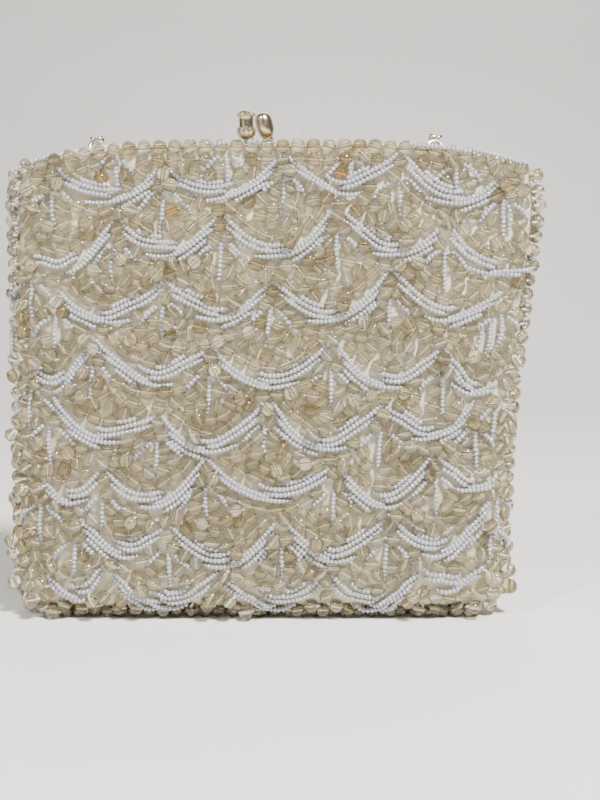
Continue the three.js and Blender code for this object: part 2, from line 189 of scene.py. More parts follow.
class Form:
    """The closed bag as a surface. A place on it is s, the way round from the front's or the back's middle,
    and z, the height. Everything is in metres."""

    def __init__(self, form):
        self.form = form
        self.out_of_cloth = form.cloth
        self.belly = form.depth / 2 - form.cloth - form.beading - form.mouth
        self.ups = np.linspace(0, 1, 81)
        turn = np.linspace(-1, 1, 801)
        self.shares = np.linspace(-1, 1, 301)
        fs, gs, spans = [], [], []
        for up in self.ups:
            wide, lean, belly, square = self.section(up)
            f = np.sign(turn) * np.abs(np.sin(turn * np.pi / 2)) ** (2 / square)
            g = np.abs(np.cos(turn * np.pi / 2)) ** (2 / square)
            x = self.half_width(up, form.cloth) * f
            y = self.half_depth(up, form.cloth) * g
            way = np.concatenate([[0], np.cumsum(np.hypot(np.diff(x), np.diff(y)))])
            way = 2 * way / way[-1] - 1
            spans.append(np.hypot(np.diff(x), np.diff(y)).sum() / 2)
            fs.append(np.interp(self.shares, way, f))
            gs.append(np.interp(self.shares, way, g))
        self.fs, self.gs, self.spans = np.array(fs), np.array(gs), np.array(spans)

    def section(self, up):
        return tuple(np.interp(up, SECTIONS[:, 0], SECTIONS[:, column]) for column in (1, 2, 3, 4))

    def half_width(self, up, out):
        form = self.form
        return form.width / 2 * self.section(up)[0] - form.cloth - form.beading + out

    def half_depth(self, up, out):
        return self.form.mouth + self.belly * self.section(up)[2] + out

    def lean(self, up):
        return self.form.lean * self.section(up)[1]

    def top(self, f):
        return self.form.height - self.form.corner_drop * np.abs(f) ** 4

    def span(self, z):
        """Half the way round at a height, from the middle to the side seam."""
        return np.interp(z / self.form.height, self.ups, self.spans)

    def _read(self, table, row, column):
        """A table of rows by height and columns by share, read between its values."""
        i = np.clip(row.astype(int), 0, len(self.ups) - 2)
        j = np.clip(column.astype(int), 0, len(self.shares) - 2)
        a, b = row - i, column - j
        low = table[i, j] * (1 - b) + table[i, j + 1] * b
        high = table[i + 1, j] * (1 - b) + table[i + 1, j + 1] * b
        return low * (1 - a) + high * a

    def on_cloth(self, s, z, side):
        """Points of the cloth's outer face."""
        s, z = np.broadcast_arrays(np.asarray(s, float), np.asarray(z, float))
        floor = self.form.beading
        up = np.clip((z - floor) / (self.form.height - floor), 0, 1)
        share = np.clip(s / self.span(z), -1, 1)
        column = (share + 1) / 2 * (len(self.shares) - 1)
        for _ in range(2):
            f = self._read(self.fs, up * (len(self.ups) - 1), column)
            up = np.clip((z - floor) / (self.top(f) - floor), 0, 1)
        g = self._read(self.gs, up * (len(self.ups) - 1), column)
        x = self.lean(up) + self.half_width(up, self.form.cloth) * f
        y = side * self.half_depth(up, self.form.cloth) * g
        return np.stack([x, y, floor + up * (self.top(f) - floor)], -1)

    def frames(self, s, z, side):
        """Points of the cloth's outer face with their outward normals."""
        s, z = np.asarray(s, float), np.asarray(z, float)
        step = 0.4 * MM
        at = self.on_cloth(s, z, side)
        inside = np.clip(s, -self.span(z) + step, self.span(z) - step)
        round_way = self.on_cloth(inside + step, z, side) - self.on_cloth(inside - step, z, side)
        up_way = self.on_cloth(s, z + step, side) - self.on_cloth(s, z - step, side)
        normal = np.cross(round_way, up_way) * -side
        return at, normal / np.maximum(np.linalg.norm(normal, axis=-1, keepdims=True), 1e-12)

    def out(self, s, z, side, lift):
        """Points that stand off the cloth by lift."""
        at, normal = self.frames(s, z, side)
        return at + normal * np.asarray(lift)[..., None]


@functools.cache
def bag():
    return Form(bpy.context.scene.bag_form)


# How the beads lie

# Rows of swags from the top down, charted in millimetres across from the bag's middle and up from its
# underside, as they are seen: the peaks that each row hangs from, and the height of each swag's lowest point.
SWAG_CHART = (
    {"peaks": ((-70.9, 155.7), (-33.4, 155.3), (7.9, 160.0), (47.6, 160.0), (83.4, 151.9)),
     "lows": (145.7, 147.1, 149.1, 145.4)},
    {"peaks": ((-79.2, 124.5), (-49.5, 136.2), (-13.5, 138.3), (26.7, 140.7), (64.4, 134.9), (92.8, 121.1)),
     "lows": (123.8, 127.9, 127.2, 127.9, 121.7)},
    {"peaks": ((-70.8, 112.7), (-33.4, 116.5), (4.1, 115.1), (45.1, 119.4), (84.3, 112.7)),
     "lows": (104.4, 105.5, 104.8, 105.8)},
    {"peaks": ((-80.8, 85.9), (-58.5, 96.0), (-18.0, 92.5), (24.8, 94.0), (63.7, 92.5), (82.9, 80.2)),
     "lows": (82.0, 83.7, 82.0, 82.0, 79.9)},
    {"peaks": ((-74.4, 74.2), (-36.4, 69.2), (2.0, 74.2), (42.5, 72.8), (75.3, 72.8)),
     "lows": (63.2, 59.3, 60.0, 63.8)},
    {"peaks": ((-78.4, 45.0), (-56.1, 48.9), (-19.6, 52.8), (26.1, 50.7), (61.4, 55.0), (83.6, 46.7)),
     "lows": (40.8, 39.9, 42.1, 39.9, 45.0)},
    {"peaks": ((-66.3, 32.3), (-33.3, 29.0), (7.0, 31.6), (45.0, 32.6), (81.2, 36.3)),
     "lows": (22.5, 18.5, 20.3, 22.5)},
    {"peaks": ((-77.9, 11.6), (-56.0, 14.9), (-15.6, 11.6), (23.5, 12.3), (57.4, 13.4), (79.6, 14.1)),
     "lows": (6.4, 4.2, 3.7, 3.9, 10.1)},
)
TOP_SPRIGS = ((-49.5, 162.7), (-12.0, 162.7), (30.7, 162.7), (67.4, 160.6))  # sprigs under the top edge

# Strands along the edges, in the same chart: across and up at their ends, and how far their middle bulges.
EDGE_STRANDS = (
    ((-86.2, 158.6), (-69.6, 161.6), 0.8),
    ((-87.4, 152.2), (-86.1, 139.3), 1.6),
    ((-87.2, 135.8), (-85.4, 125.7), 1.6),
    ((-86.1, 118.2), (-83.7, 108.0), 1.6),
    ((-86.9, 101.9), (-83.6, 92.2), 1.4),
    ((-16.5, 163.9), (-11.9, 164.5), 0.3),
    ((-4.6, 164.7), (0.5, 164.7), 0.3),
    ((51.0, 164.1), (72.6, 161.6), 0.5),
    ((72.6, 162.3), (91.5, 157.2), 0.8),
    ((85.0, 144.7), (85.7, 134.3), 0.6),
    ((96.2, 140.3), (94.4, 134.3), 1.2),
    ((93.7, 127.7), (92.4, 116.1), 1.4),
    ((91.7, 111.1), (90.3, 98.9), 1.6),
    ((80.2, 103.5), (78.2, 89.7), 0.3),
    ((77.5, 100.9), (74.2, 92.2), 0.3),
)
# Beads with an amber stain, in the same chart.
STAINED = ((-55.4, 151.9), (32.5, 157.7), (28.1, 156.0), (-30.3, 145.1))
STRAND_ACROSS = 1.0  # strands side by side, as a share of a small bead's diameter


def seen_to_bag(points, side):
    """Chart points as s and z on the surface. The chart lies on the upright plane through the bag's middle,
    as the beads are seen from the camera's place, and the back has the same chart."""
    form, view = bag(), bpy.context.scene.bag_view
    lift = form.form.cloth + bpy.context.scene.bag_beads.clear / 2
    camera_y = -view.distance * math.cos(view.elevation)
    camera_z = view.aim_z + view.distance * math.sin(view.elevation)
    places = []
    for across, up in np.array(points, float) * MM:
        x, z = across, up
        for _ in range(4):
            near = form.half_depth(z / form.form.height, lift) / -camera_y
            x = across + (view.aim_x - across) * near
            z = up + (camera_z - up) * near
        span = form.span(z)
        way = np.linspace(-span, span, 241)
        places.append((np.interp(x, form.on_cloth(way, np.full_like(way, z), side)[:, 0], way), z))
    return np.array(places)


def smooth_line(points, step=0.25 * MM):
    """A curve through a few points, sampled closely. The columns are s, z and lift."""
    points = np.asarray(points, float)
    ends = np.vstack([2 * points[0] - points[1], points, 2 * points[-1] - points[-2]])
    line = []
    for a, b, c, d in zip(ends, ends[1:], ends[2:], ends[3:]):
        count = max(2, int(np.linalg.norm(c - b) / step))
        t = np.linspace(0, 1, count, endpoint=False)[:, None]
        bend = (2 * a - 5 * b + 4 * c - d) * t**2 + (3 * b - a - 3 * c + d) * t**3
        line.append(0.5 * (2 * b + (c - a) * t + bend))
    return np.vstack([*line, points[-1:]])


class Strung:
    """What is strung: where each bead or link is, which way it runs and faces, its size and its tint."""

    def __init__(self):
        self.at, self.aim, self.size, self.tint, self.face = [], [], [], [], []

    def add(self, at, aim, size, tint, face=None):
        self.at.append(tuple(at))
        if face is not None:
            self.face.append(tuple(face))
        self.aim.append(tuple(aim))
        self.size.append(size)
        self.tint.append(tint)


class Bed:
    """How far the beads that are already sewn on stand off the cloth, on a fine grid of s and z."""

    step = 0.25 * MM
    margin = 5 * MM
    ways = ((1, 0), (-1, 0), (0, 1), (0, -1), (0.7, 0.7), (-0.7, 0.7), (0.7, -0.7), (-0.7, -0.7))

    def __init__(self):
        form = bag()
        self.reach = float(form.spans.max()) + self.margin
        rows = int((form.form.height + 2 * self.margin) / self.step) + 1
        self.tops = np.zeros((rows, int(2 * self.reach / self.step) + 1))
        self.domes = {}

    def dome(self, radius):
        """The upper half of a ball on the grid, and minus infinity round it."""
        cells = round(radius / self.step)
        if cells not in self.domes:
            way = np.arange(-cells, cells + 1) * self.step
            squares = radius**2 - way[:, None] ** 2 - way[None] ** 2
            self.domes[cells] = np.where(squares > 0, np.sqrt(np.maximum(squares, 0)), -np.inf)
        return cells, self.domes[cells]

    def window(self, s, z, cells):
        """The part of the grid round s and z."""
        row, column = round((z + self.margin) / self.step), round((s + self.reach) / self.step)
        return self.tops[row - cells : row + cells + 1, column - cells : column + cells + 1]

    def rest(self, s, z, radius):
        """How high the middle of a ball lies that is laid down here."""
        cells, dome = self.dome(radius)
        return max(radius, float((self.window(s, z, cells) + dome).max()))

    def add(self, s, z, radius, middle):
        """Lays a ball down here with its middle at this height."""
        cells, dome = self.dome(radius)
        window = self.window(s, z, cells)
        np.maximum(window, middle + dome, out=window)

    def roll(self, s, z, radius, inside):
        """Lets a ball roll down from s and z to where it lies lowest, as long as it stays inside."""
        height = self.rest(s, z, radius)
        stride = 4 * self.step
        while stride >= self.step:
            lower = None
            for across, up in self.ways:
                at = s + across * stride, z + up * stride
                if inside(*at):
                    rest = self.rest(*at, radius)
                    if rest < height - 1e-6:
                        height, lower = rest, at
            if lower:
                s, z = lower
            else:
                stride /= 2
        return s, z, height


def even_steps(points, pitch, *others):
    """Points a pitch apart along a fine line, the line's direction at each, and other columns read there."""
    steps = np.linalg.norm(np.diff(points, axis=0), axis=1)
    way = np.concatenate([[0], np.cumsum(steps)])
    count = max(1, int(way[-1] / pitch))
    at = (np.arange(count) + 0.5) * way[-1] / count

    def read(table, where):
        return np.stack([np.interp(where, way, column) for column in np.asarray(table).T], -1)

    aim = read(points, at + pitch / 2) - read(points, at - pitch / 2)
    aim /= np.maximum(np.linalg.norm(aim, axis=1, keepdims=True), 1e-12)
    return (read(points, at), aim, *(read(other, at) for other in others))


class Side:
    """One side of the bag while it is sewn: its small beads, its clear ones, and the bed that they make."""

    press = 0.93  # beads lie this close, as a share of their size
    clear_sizes = 0.93, 1.05  # the smallest and the largest clear bead, as shares of the named size
    off_table = 0.02 * MM  # the lowest beads end this far above the table
    under_strand = 0.55 * MM, 0.85 * MM  # radius and height of what a strand leaves free beneath it
    # Where a swag's strands start and stop, as shares of the way from its peak to the next one.
    swag_start, swag_later = -0.03, 0.085
    upper_stop, upper_later = 0.64, -0.08
    lower_stops = 0.5, 0.66
    # How far the strands lie below the charted line, in strands, at their starts and at their stops.
    start_offset, upper_offset, lower_offset = -0.55, -1.1, 0.85
    third_from, third_often = 30 * MM, 0.8  # swags this wide have a third, short strand this often
    # How high strands stand off the cloth.
    sprig_ends, sprig_tips = 2.2 * MM, 2 * MM
    edge_ends, edge_crown = 2.4 * MM, 4 * MM
    slant_aside = 2.1 * MM  # a sprig's slanting strands start this far from its middle
    seam_strand, seam_nestle = 0.4, 0.5 * MM  # how far round, and how deep, a strand lies on the seam's beads
    # Rows of clear beads: the seams' from the top to their foot, and those above and below each swag.
    seam_top, seam_foot, seam_aside, seam_bore = 10 * MM, 7 * MM, 2.6 * MM, math.pi / 2 * 0.08
    edge_rows = (1.0, 1.02), (2.9, 1.03)  # drop from the top edge in bead radii, and pitch in beads
    foot_row = 2.7 * MM
    above_swag, below_swag = -4.4 * MM, 5.6 * MM
    # Beads between the rows: how high they may lie and how far they stay from the edges, pass by pass.
    passes = (0.5 * MM, 0), (2.3 * MM, 3 * MM)
    hollow_high, hollow_aside = 3 * MM, 4 * MM
    # Only peaks this high, and this near to the middle, have a sprig.
    sprig_above, sprig_within = 24 * MM, 84 * MM

    def __init__(self, side, chance):
        self.side, self.chance = side, chance
        self.sizes = bpy.context.scene.bag_beads
        self.bed = Bed()
        self.seeds = {"swags": Strung(), "sprigs": Strung()}
        self.seed_places = []
        self.clear_places = []
        self.clear = Strung()
        self.rows = []
        for row in SWAG_CHART:
            peaks = seen_to_bag(row["peaks"], side)
            lows = seen_to_bag([(x, low) for (x, _), low in zip(row["peaks"], row["lows"])], side)[:, 1]
            curves = [swag_curve(a, low, b) for a, b, low in zip(peaks, peaks[1:], lows)]
            self.rows.append((peaks, curves))

    def string_seeds(self, group, points):
        """Small beads along a strand given by its s, z and lift."""
        line = smooth_line(points)
        waves = np.sin(np.linspace(0, len(line) * 0.03, len(line)) + self.chance.uniform(0, 6))
        line[:, 2] += 0.12 * MM * waves
        fine = bag().out(line[:, 0], line[:, 1], self.side, line[:, 2])
        self.thread_seeds(group, fine)
        self.seed_places.extend(even_steps(fine, self.sizes.seed_pitch, line)[2])

    def thread_seeds(self, group, fine):
        """Small beads on a thread given by its points."""
        chance = self.chance
        shade = chance.random()
        for at, way in zip(*even_steps(fine, self.sizes.seed_pitch)):
            tilt = np.array([chance.gauss(0, 0.1) for _ in range(3)])
            tint = min(1, max(0, 0.6 * shade + 0.4 * chance.random()))
            self.seeds[group].add(at, way + tilt, chance.gauss(1, 0.04), tint)

    def bed_seeds(self, low):
        """Lays the small beads on the bed. While low, clear beads may lie partly under their strands."""
        for s, z, lift in self.seed_places:
            if low:
                self.bed.add(s, z, *self.under_strand)
            else:
                self.bed.add(s, z, self.sizes.seed / 2, max(lift, 1 * MM))

    def lay_clear(self, s, z, size, middle, angle):
        """Sews on one clear bead with its middle at a height above the cloth and its bore at an angle."""
        at, normal = bag().frames(np.array([s]), np.array([z]), self.side)
        at, normal = at[0], normal[0]
        level = np.cross([0, 0, 1], normal)
        if np.linalg.norm(level) < 0.05:  # nothing can be sewn to the very edge
            return
        level /= np.linalg.norm(level)
        radius = self.sizes.clear / 2 * size
        centre = at + normal * middle
        centre[2] = max(centre[2], radius + self.off_table)
        aim = level * math.cos(angle) + np.cross(normal, level) * math.sin(angle)
        aim = aim + normal * self.chance.gauss(0, 0.16)
        self.clear.add(centre, aim, size, self.chance.uniform(0, 0.99))
        self.clear_places.append((s, z))
        self.bed.add(s, z, radius * self.press, middle)

    def try_clear(self, s, z, allowed, angle, roll=False):
        """Sews on a clear bead if it lies no higher than allowed above its own radius."""
        size = self.chance.uniform(*self.clear_sizes)
        radius = self.sizes.clear / 2 * size
        if roll:
            s, z, middle = self.bed.roll(s, z, radius * self.press, self.in_hollows)
        else:
            middle = self.bed.rest(s, z, radius * self.press)
        if middle - radius * self.press <= allowed:
            self.lay_clear(s, z, size, max(middle, radius), angle)

    def inside(self, s, z, margin=0.0):
        """Whether a clear bead may lie here, a margin away from the edges and the seams."""
        form = bag()
        radius = self.sizes.clear / 2
        span = form.span(z)
        between = radius + margin < z < form.top(s / span) - radius - margin
        return between and abs(s) < span - radius * 0.9 - margin

    def in_hollows(self, s, z):
        return self.inside(s, z, self.hollow_aside)

    def string_clear(self, line, pitch=1.0, allowed=1.0 * MM, angle=None):
        """Clear beads in a row along points of s and z, bores along the row unless an angle is given."""
        flat = np.column_stack([line, np.zeros(len(line))])
        place, aim = even_steps(flat, self.sizes.clear * pitch)
        for (s, z, _), (across, up, _) in zip(place, aim):
            along = math.atan2(up, across * -self.side) if angle is None else angle
            self.try_clear(s, z, allowed, along + self.chance.gauss(0, 0.14))

    def hang_swag(self, curve, wide):
        """One swag: two strands down from each peak, which pass each other at the bottom."""
        chance = self.chance
        low = self.sizes.swag_lift * chance.uniform(0.92, 1.08)
        step = STRAND_ACROSS
        over = chance.choice((1, -1))
        for way in (1, -1):
            upper = way == over
            waver = chance.uniform(7, 15), chance.uniform(0, 6), chance.uniform(0.15, 0.34)
            for k in range(2):
                start = self.swag_start + self.swag_later * k + chance.uniform(0, 0.02)
                first = k * step + self.start_offset
                if upper:
                    stop = self.upper_stop + self.upper_later * k + chance.uniform(-0.05, 0.04)
                    last = k * step + self.upper_offset
                else:
                    stop = self.lower_stops[k] + chance.uniform(-0.04, 0.05)
                    last = k * step + self.lower_offset
                ends = (start, stop) if way == 1 else (1 - start, 1 - stop)
                self.string_seeds("swags", strand(curve, *ends, first, last, low, waver))
            if wide > self.third_from and chance.random() < self.third_often:
                start = chance.uniform(0.14, 0.22)
                stop = start + chance.uniform(0.2, 0.3)
                offset = (-step - 0.55, -step - 0.85) if upper else (2 * step - 0.55, 2 * step + 0.35)
                ends = (start, stop) if way == 1 else (1 - start, 1 - stop)
                self.string_seeds("swags", strand(curve, *ends, *offset, low * 0.97, waver))

    def hang_sprig(self, s, z, top=6.6, long=14.3):
        """A sprig under a peak: one strand straight down and one slanting off to each side."""
        chance = self.chance
        lean = chance.uniform(-0.09, 0.09)
        lift = chance.uniform(3.4, 4.2) * MM
        start, stop = z - top * MM, z - (top + long * chance.uniform(0.88, 1.05)) * MM
        middle = (start + stop) / 2
        bend = chance.uniform(-0.6, 0.6) * MM
        down = [(s, start, self.sprig_ends), (s + bend + lean * (start - middle), middle, lift),
                (s + lean * (start - stop), stop, self.sprig_tips)]
        self.string_seeds("sprigs", down)
        for way in (-1, 1):
            reach = chance.uniform(4.2, 7.2) * MM
            fall = reach * chance.uniform(0.8, 1.25)
            s0, z0 = s + way * self.slant_aside, start - chance.uniform(0.6, 2.0) * MM
            slant = [(s0, z0, self.sprig_ends), (s0 + way * reach * 0.5, z0 - fall * 0.42, lift * 0.95),
                     (s0 + way * reach, z0 - fall, self.sprig_tips)]
            self.string_seeds("sprigs", slant)

    def string_edges(self):
        """Strands over the top edge, down the front and along the seams."""
        form = bag()
        cloth = form.form.cloth
        for start, end, bulge in EDGE_STRANDS:
            (x0, z0), (x1, z1) = np.array((start, end)) * MM
            up = min(1, (z0 + z1) / 2 / form.form.height)
            upright = abs(z1 - z0) > abs(x1 - x0)
            if upright and abs((x0 + x1) / 2 - form.lean(up)) < form.half_width(up, cloth) - 2 * MM:
                (s0, low), (s1, high) = seen_to_bag([start, end], self.side)
                middle = ((s0 + s1) / 2 + bulge * MM, (low + high) / 2, self.edge_crown)
                self.string_seeds("sprigs", [(s0, low, self.edge_ends), middle, (s1, high, self.edge_ends)])
                continue
            shares = np.linspace(0, 1, 5)
            bows = [0.4 * bulge * MM * math.sin(math.pi * share) for share in shares]
            places = [(x0 + (x1 - x0) * share, z0 + (z1 - z0) * share) for share in shares]
            lay = self.on_seam if upright else self.over_top
            self.thread_seeds("sprigs", smooth_line([lay(x, z, bow) for (x, z), bow in zip(places, bows)]))

    def on_seam(self, x, z, bow):
        """A point of a strand that lies on the seam's clear beads, on the side that x is on."""
        form = bag()
        up = min(1, z / form.form.height)
        away = self.sizes.clear / 2 + 0.45 * self.sizes.seed
        aside = form.half_width(up, form.form.cloth) + away - self.seam_nestle + bow
        deep = self.side * self.seam_strand * form.half_depth(up, form.form.cloth)
        return form.lean(up) + math.copysign(aside, x), deep, z

    def over_top(self, x, z, bow):
        """A point of a strand that rounds the clear beads of the top edge where it is seen at x and z."""
        form, view = bag(), bpy.context.scene.bag_view
        radius = self.sizes.clear / 2
        away = radius + 0.45 * self.sizes.seed
        camera_z = view.aim_z + view.distance * math.sin(view.elevation)
        up = min(1, z / form.form.height)
        top = form.top((x - form.lean(1)) / form.half_width(1, 0))
        z = min(z + bow, top - radius + away)
        below = min(1, max(0, (z - top + radius) / away))
        out = form.half_depth(up, form.form.cloth) + radius + away * math.sqrt(1 - below**2)
        near = out / view.distance
        return x + (view.aim_x - x) * near, self.side * out, z + (camera_z - z) * near

    def height_over_swags(self, s, z):
        """How far points lie above the nearest swag below them, and that swag's slope there."""
        over = np.array(z, float)
        slope = np.zeros_like(over)
        t = np.linspace(0, 1, 40)
        for _, curves in self.rows:
            line = np.vstack([curve(t) for curve in curves])
            line = line[np.argsort(line[:, 0])]
            height = np.interp(s, line[:, 0], line[:, 1])
            rise = np.interp(s + 0.5 * MM, line[:, 0], line[:, 1]) - height
            here = (z - height > 0) & (z - height < over)
            over[here] = (z - height)[here]
            slope[here] = (rise / (0.5 * MM))[here]
        return over, slope

    def sew_edges(self):
        """Rows of clear beads along the top edge, the underside and beside both seams."""
        form = bag()
        radius = self.sizes.clear / 2
        for way in (-1, 1):
            z = np.linspace(form.form.height - self.seam_top, self.seam_foot, 120)
            seam = np.column_stack([way * (form.span(z) - self.seam_aside), z])
            self.string_clear(seam, 0.98, angle=self.seam_bore)
        edge = np.linspace(-0.98, 0.98, 200)
        for drop, pitch in self.edge_rows:
            top = form.form.height - radius * drop
            s = edge * form.span(top)
            x = form.on_cloth(s, np.full_like(s, top), self.side)[:, 0]
            f = (x - form.lean(1)) / form.half_width(1, 0)
            self.string_clear(np.column_stack([s, form.top(f) - radius * drop]), pitch)
        s = edge * form.span(5 * MM)
        self.string_clear(np.column_stack([s, np.full_like(s, self.foot_row)]), 0.99)

    def fill(self):
        """Fills the side with clear beads: rows that follow the swags, then beads in the hollows."""
        form, chance = bag(), self.chance
        t = np.linspace(0.03, 0.97, 60)
        for offset, pitch in ((self.above_swag, 0.99), (self.below_swag, 1.02)):
            for _, curves in self.rows:
                for curve in curves:
                    self.string_clear(beside(curve, t, np.full_like(t, offset)), pitch, 0.9 * MM)
        grid = 0.55 * MM
        across = np.arange(-form.spans.max(), form.spans.max(), grid)
        s, z = np.meshgrid(across, np.arange(2.5 * MM, form.form.height, grid))
        s, z = s.ravel(), z.ravel()
        over, slope = self.height_over_swags(s, z)
        for allowed, margin in self.passes:
            jitter = np.array([chance.uniform(0, 1.6) for _ in s]) * MM
            for i in np.argsort(over + jitter):
                if self.inside(s[i], z[i], margin):
                    along = math.atan2(slope[i], -self.side)
                    self.try_clear(s[i], z[i], allowed, along + chance.gauss(0, 0.75))
            self.bed_seeds(low=False)
        reach = float(form.spans.max())
        for _ in range(self.sizes.top_layer):
            s, z = chance.uniform(-reach, reach), chance.uniform(3 * MM, form.form.height - 3 * MM)
            if self.in_hollows(s, z):
                self.try_clear(s, z, self.hollow_high, chance.uniform(0, math.pi), roll=True)

    def sew(self):
        """Sews all of the side: its strands, then the clear beads between them."""
        for peaks, curves in self.rows:
            for curve, left, right in zip(curves, peaks, peaks[1:]):
                self.hang_swag(curve, right[0] - left[0])
            for s, z in peaks:
                if z > self.sprig_above and abs(s) < self.sprig_within:
                    self.hang_sprig(s, z)
        for s, z in seen_to_bag(TOP_SPRIGS, self.side):
            self.hang_sprig(s, z, top=2.5, long=11)
        self.string_edges()
        self.bed_seeds(low=True)
        self.sew_edges()
        self.fill()
        if self.side == FRONT:
            places = np.array(self.clear_places)
            for place in seen_to_bag(STAINED, FRONT):
                self.clear.tint[int(np.hypot(*(places - place).T).argmin())] = 1.0
        return self


def swag_curve(start, low, end):
    """s and z at t from 0 to 1 along a swag: straight near its peaks and round at its lowest point."""
    start, end = np.array(start), np.array(end)

    def at(t):
        t = np.asarray(t, float)
        across = start[0] + (end[0] - start[0]) * t
        chord = start[1] + (end[1] - start[1]) * t
        middle = (start[1] + end[1]) / 2
        hang = 1 - np.abs(2 * t - 1) ** 1.75
        return np.stack([across, chord - (middle - low) * hang], -1)

    return at


def beside(curve, t, offset):
    """Points beside a curve, offset towards its lower side."""
    t = np.asarray(t, float)
    ahead, behind = curve(np.clip(t + 0.02, 0.04, 1)), curve(np.clip(t - 0.02, 0, 0.96))
    way = ahead - behind
    way /= np.linalg.norm(way, axis=-1, keepdims=True)
    down = np.stack([way[..., 1], -way[..., 0]], -1) * np.sign(way[..., :1] + 1e-12)
    return curve(t) + down * np.asarray(offset)[..., None]


def strand(curve, t0, t1, offset0, offset1, lift, waver):
    """A strand's points along a curve from t0 to t1, with its offset changing on the way and dipping ends."""
    across = bpy.context.scene.bag_beads.seed
    share = np.linspace(0, 1, 7)
    t = t0 + (t1 - t0) * share
    often, start, far = waver
    waver = far * np.sin(t * often + start)
    place = beside(curve, t, (offset0 + (offset1 - offset0) * share**1.6 + waver) * across)
    rise = across / 2 + (lift - across / 2) * np.minimum(1, np.sin(share * np.pi) * 1.8 + 0.3)
    return np.column_stack([place, rise])


@functools.cache
def sides():
    """Both sides of the bag, sewn."""
    chance = random.Random(bpy.context.scene.bag_beads.lay)
    return {side: Side(side, chance).sew() for side in (FRONT, BACK)}


def underside():
    """Clear beads in staggered rows under the bag, on which it stands."""
    sizes, form = bpy.context.scene.bag_beads, bag().form
    chance = random.Random(sizes.lay)
    strung = Strung()
    corner = 9.5 * MM
    foot_share = 0.918  # the foot's width as a share of the bag's
    reach = foot_share * form.width / 2 - corner
    pitch, stagger = sizes.clear * 0.98, 0.87
    for row in range(-2, 3):
        count = int(2 * reach / pitch)
        for k in range(count):
            x = -reach + (k + 0.5 + 0.5 * (row % 2)) * pitch
            y = row * pitch * stagger
            size = chance.uniform(0.93, 1.0)
            x, y = x + chance.gauss(0, 0.15) * MM, y + chance.gauss(0, 0.15) * MM
            at = (x, y, sizes.clear / 2 * size + Side.off_table)
            turn = chance.gauss(0, 0.3)
            strung.add(at, (math.cos(turn), math.sin(turn), 0), size, chance.random())
    return strung


# Ways of making meshes

def edit(obj):
    """Selects one object alone and opens it for editing."""
    pick(obj)
    bpy.ops.object.mode_set(mode="EDIT")


def done():
    bpy.ops.object.mode_set(mode="OBJECT")


def pick(*objects):
    bpy.ops.object.select_all(action="DESELECT")
    for obj in objects:
        obj.select_set(True)
    bpy.context.view_layer.objects.active = objects[0]


def added(name):
    """The primitive that was just added, named."""
    obj = bpy.context.object
    obj.name = obj.data.name = name
    return obj


def select_where(obj, test, mode="FACE"):
    """In edit mode, selects the faces, edges or vertices whose middle and normal pass a test."""
    bpy.ops.mesh.select_mode(type=mode)
    bpy.ops.mesh.select_all(action="DESELECT")
    mesh = bmesh.from_edit_mesh(obj.data)
    parts = {"FACE": mesh.faces, "EDGE": mesh.edges, "VERT": mesh.verts}[mode]
    for part in parts:
        if mode == "FACE":
            middle, normal = part.calc_center_median(), part.normal
        elif mode == "EDGE":
            middle, normal = (part.verts[0].co + part.verts[1].co) / 2, None
        else:
            middle, normal = part.co, part.normal
        if test(middle, normal):
            part.select_set(True)
    mesh.select_flush_mode()
    bmesh.update_edit_mesh(obj.data)


def apply_modifier(obj, kind, **settings):
    pick(obj)
    modifier = obj.modifiers.new(kind.title(), kind)
    for name, value in settings.items():
        setattr(modifier, name, value)
    bpy.ops.object.modifier_apply(modifier=modifier.name)


def smooth(obj, degrees):
    pick(obj)
    bpy.ops.object.shade_smooth_by_angle(angle=math.radians(degrees))


def settle(obj):
    """Puts an object's place into its mesh."""
    pick(obj)
    bpy.ops.object.transform_apply(location=True, rotation=True, scale=True)


def seed_template():
    """A small round bead with its thread along Z."""
    sizes = bpy.context.scene.bag_beads
    radius, long = sizes.seed / 2, sizes.seed_pitch * 1.04
    bpy.ops.object.select_all(action="DESELECT")
    bpy.ops.mesh.primitive_cylinder_add(vertices=7, radius=radius, depth=long * 0.26)
    bead = added("small_bead")
    edit(bead)
    for end in (-1, 1):
        select_where(bead, lambda middle, normal: normal.z * end > 0.9)
        bpy.ops.mesh.extrude_region_move(TRANSFORM_OT_translate={"value": (0, 0, end * long * 0.37)})
        bpy.ops.transform.resize(value=(0.5, 0.5, 1))
    done()
    return bead


def clear_template():
    """A clear round bead with a bore along Z."""
    sizes = bpy.context.scene.bag_beads
    radius, bore = sizes.clear / 2, sizes.bore / 2
    bpy.ops.object.select_all(action="DESELECT")
    bpy.ops.mesh.primitive_uv_sphere_add(segments=9, ring_count=6, radius=radius * 1.03)
    bead = added("clear_bead")
    edit(bead)
    select_where(bead, lambda middle, normal: abs(middle.z) > radius, "VERT")
    bpy.ops.mesh.delete(type="VERT")
    for end in (-1, 1):
        select_where(bead, lambda middle, normal: middle.z * end > radius * 0.8, "EDGE")
        bpy.ops.mesh.extrude_edges_move(TRANSFORM_OT_translate={"value": (0, 0, end * radius * 0.07)})
        narrow = bore / (radius * 0.515)
        bpy.ops.transform.resize(value=(narrow, narrow, 1))
    select_where(bead, lambda middle, normal: math.hypot(middle.x, middle.y) < bore * 1.05, "EDGE")
    bpy.ops.mesh.bridge_edge_loops()
    bpy.ops.mesh.select_all(action="SELECT")
    bpy.ops.mesh.normals_make_consistent(inside=False)
    done()
    return bead


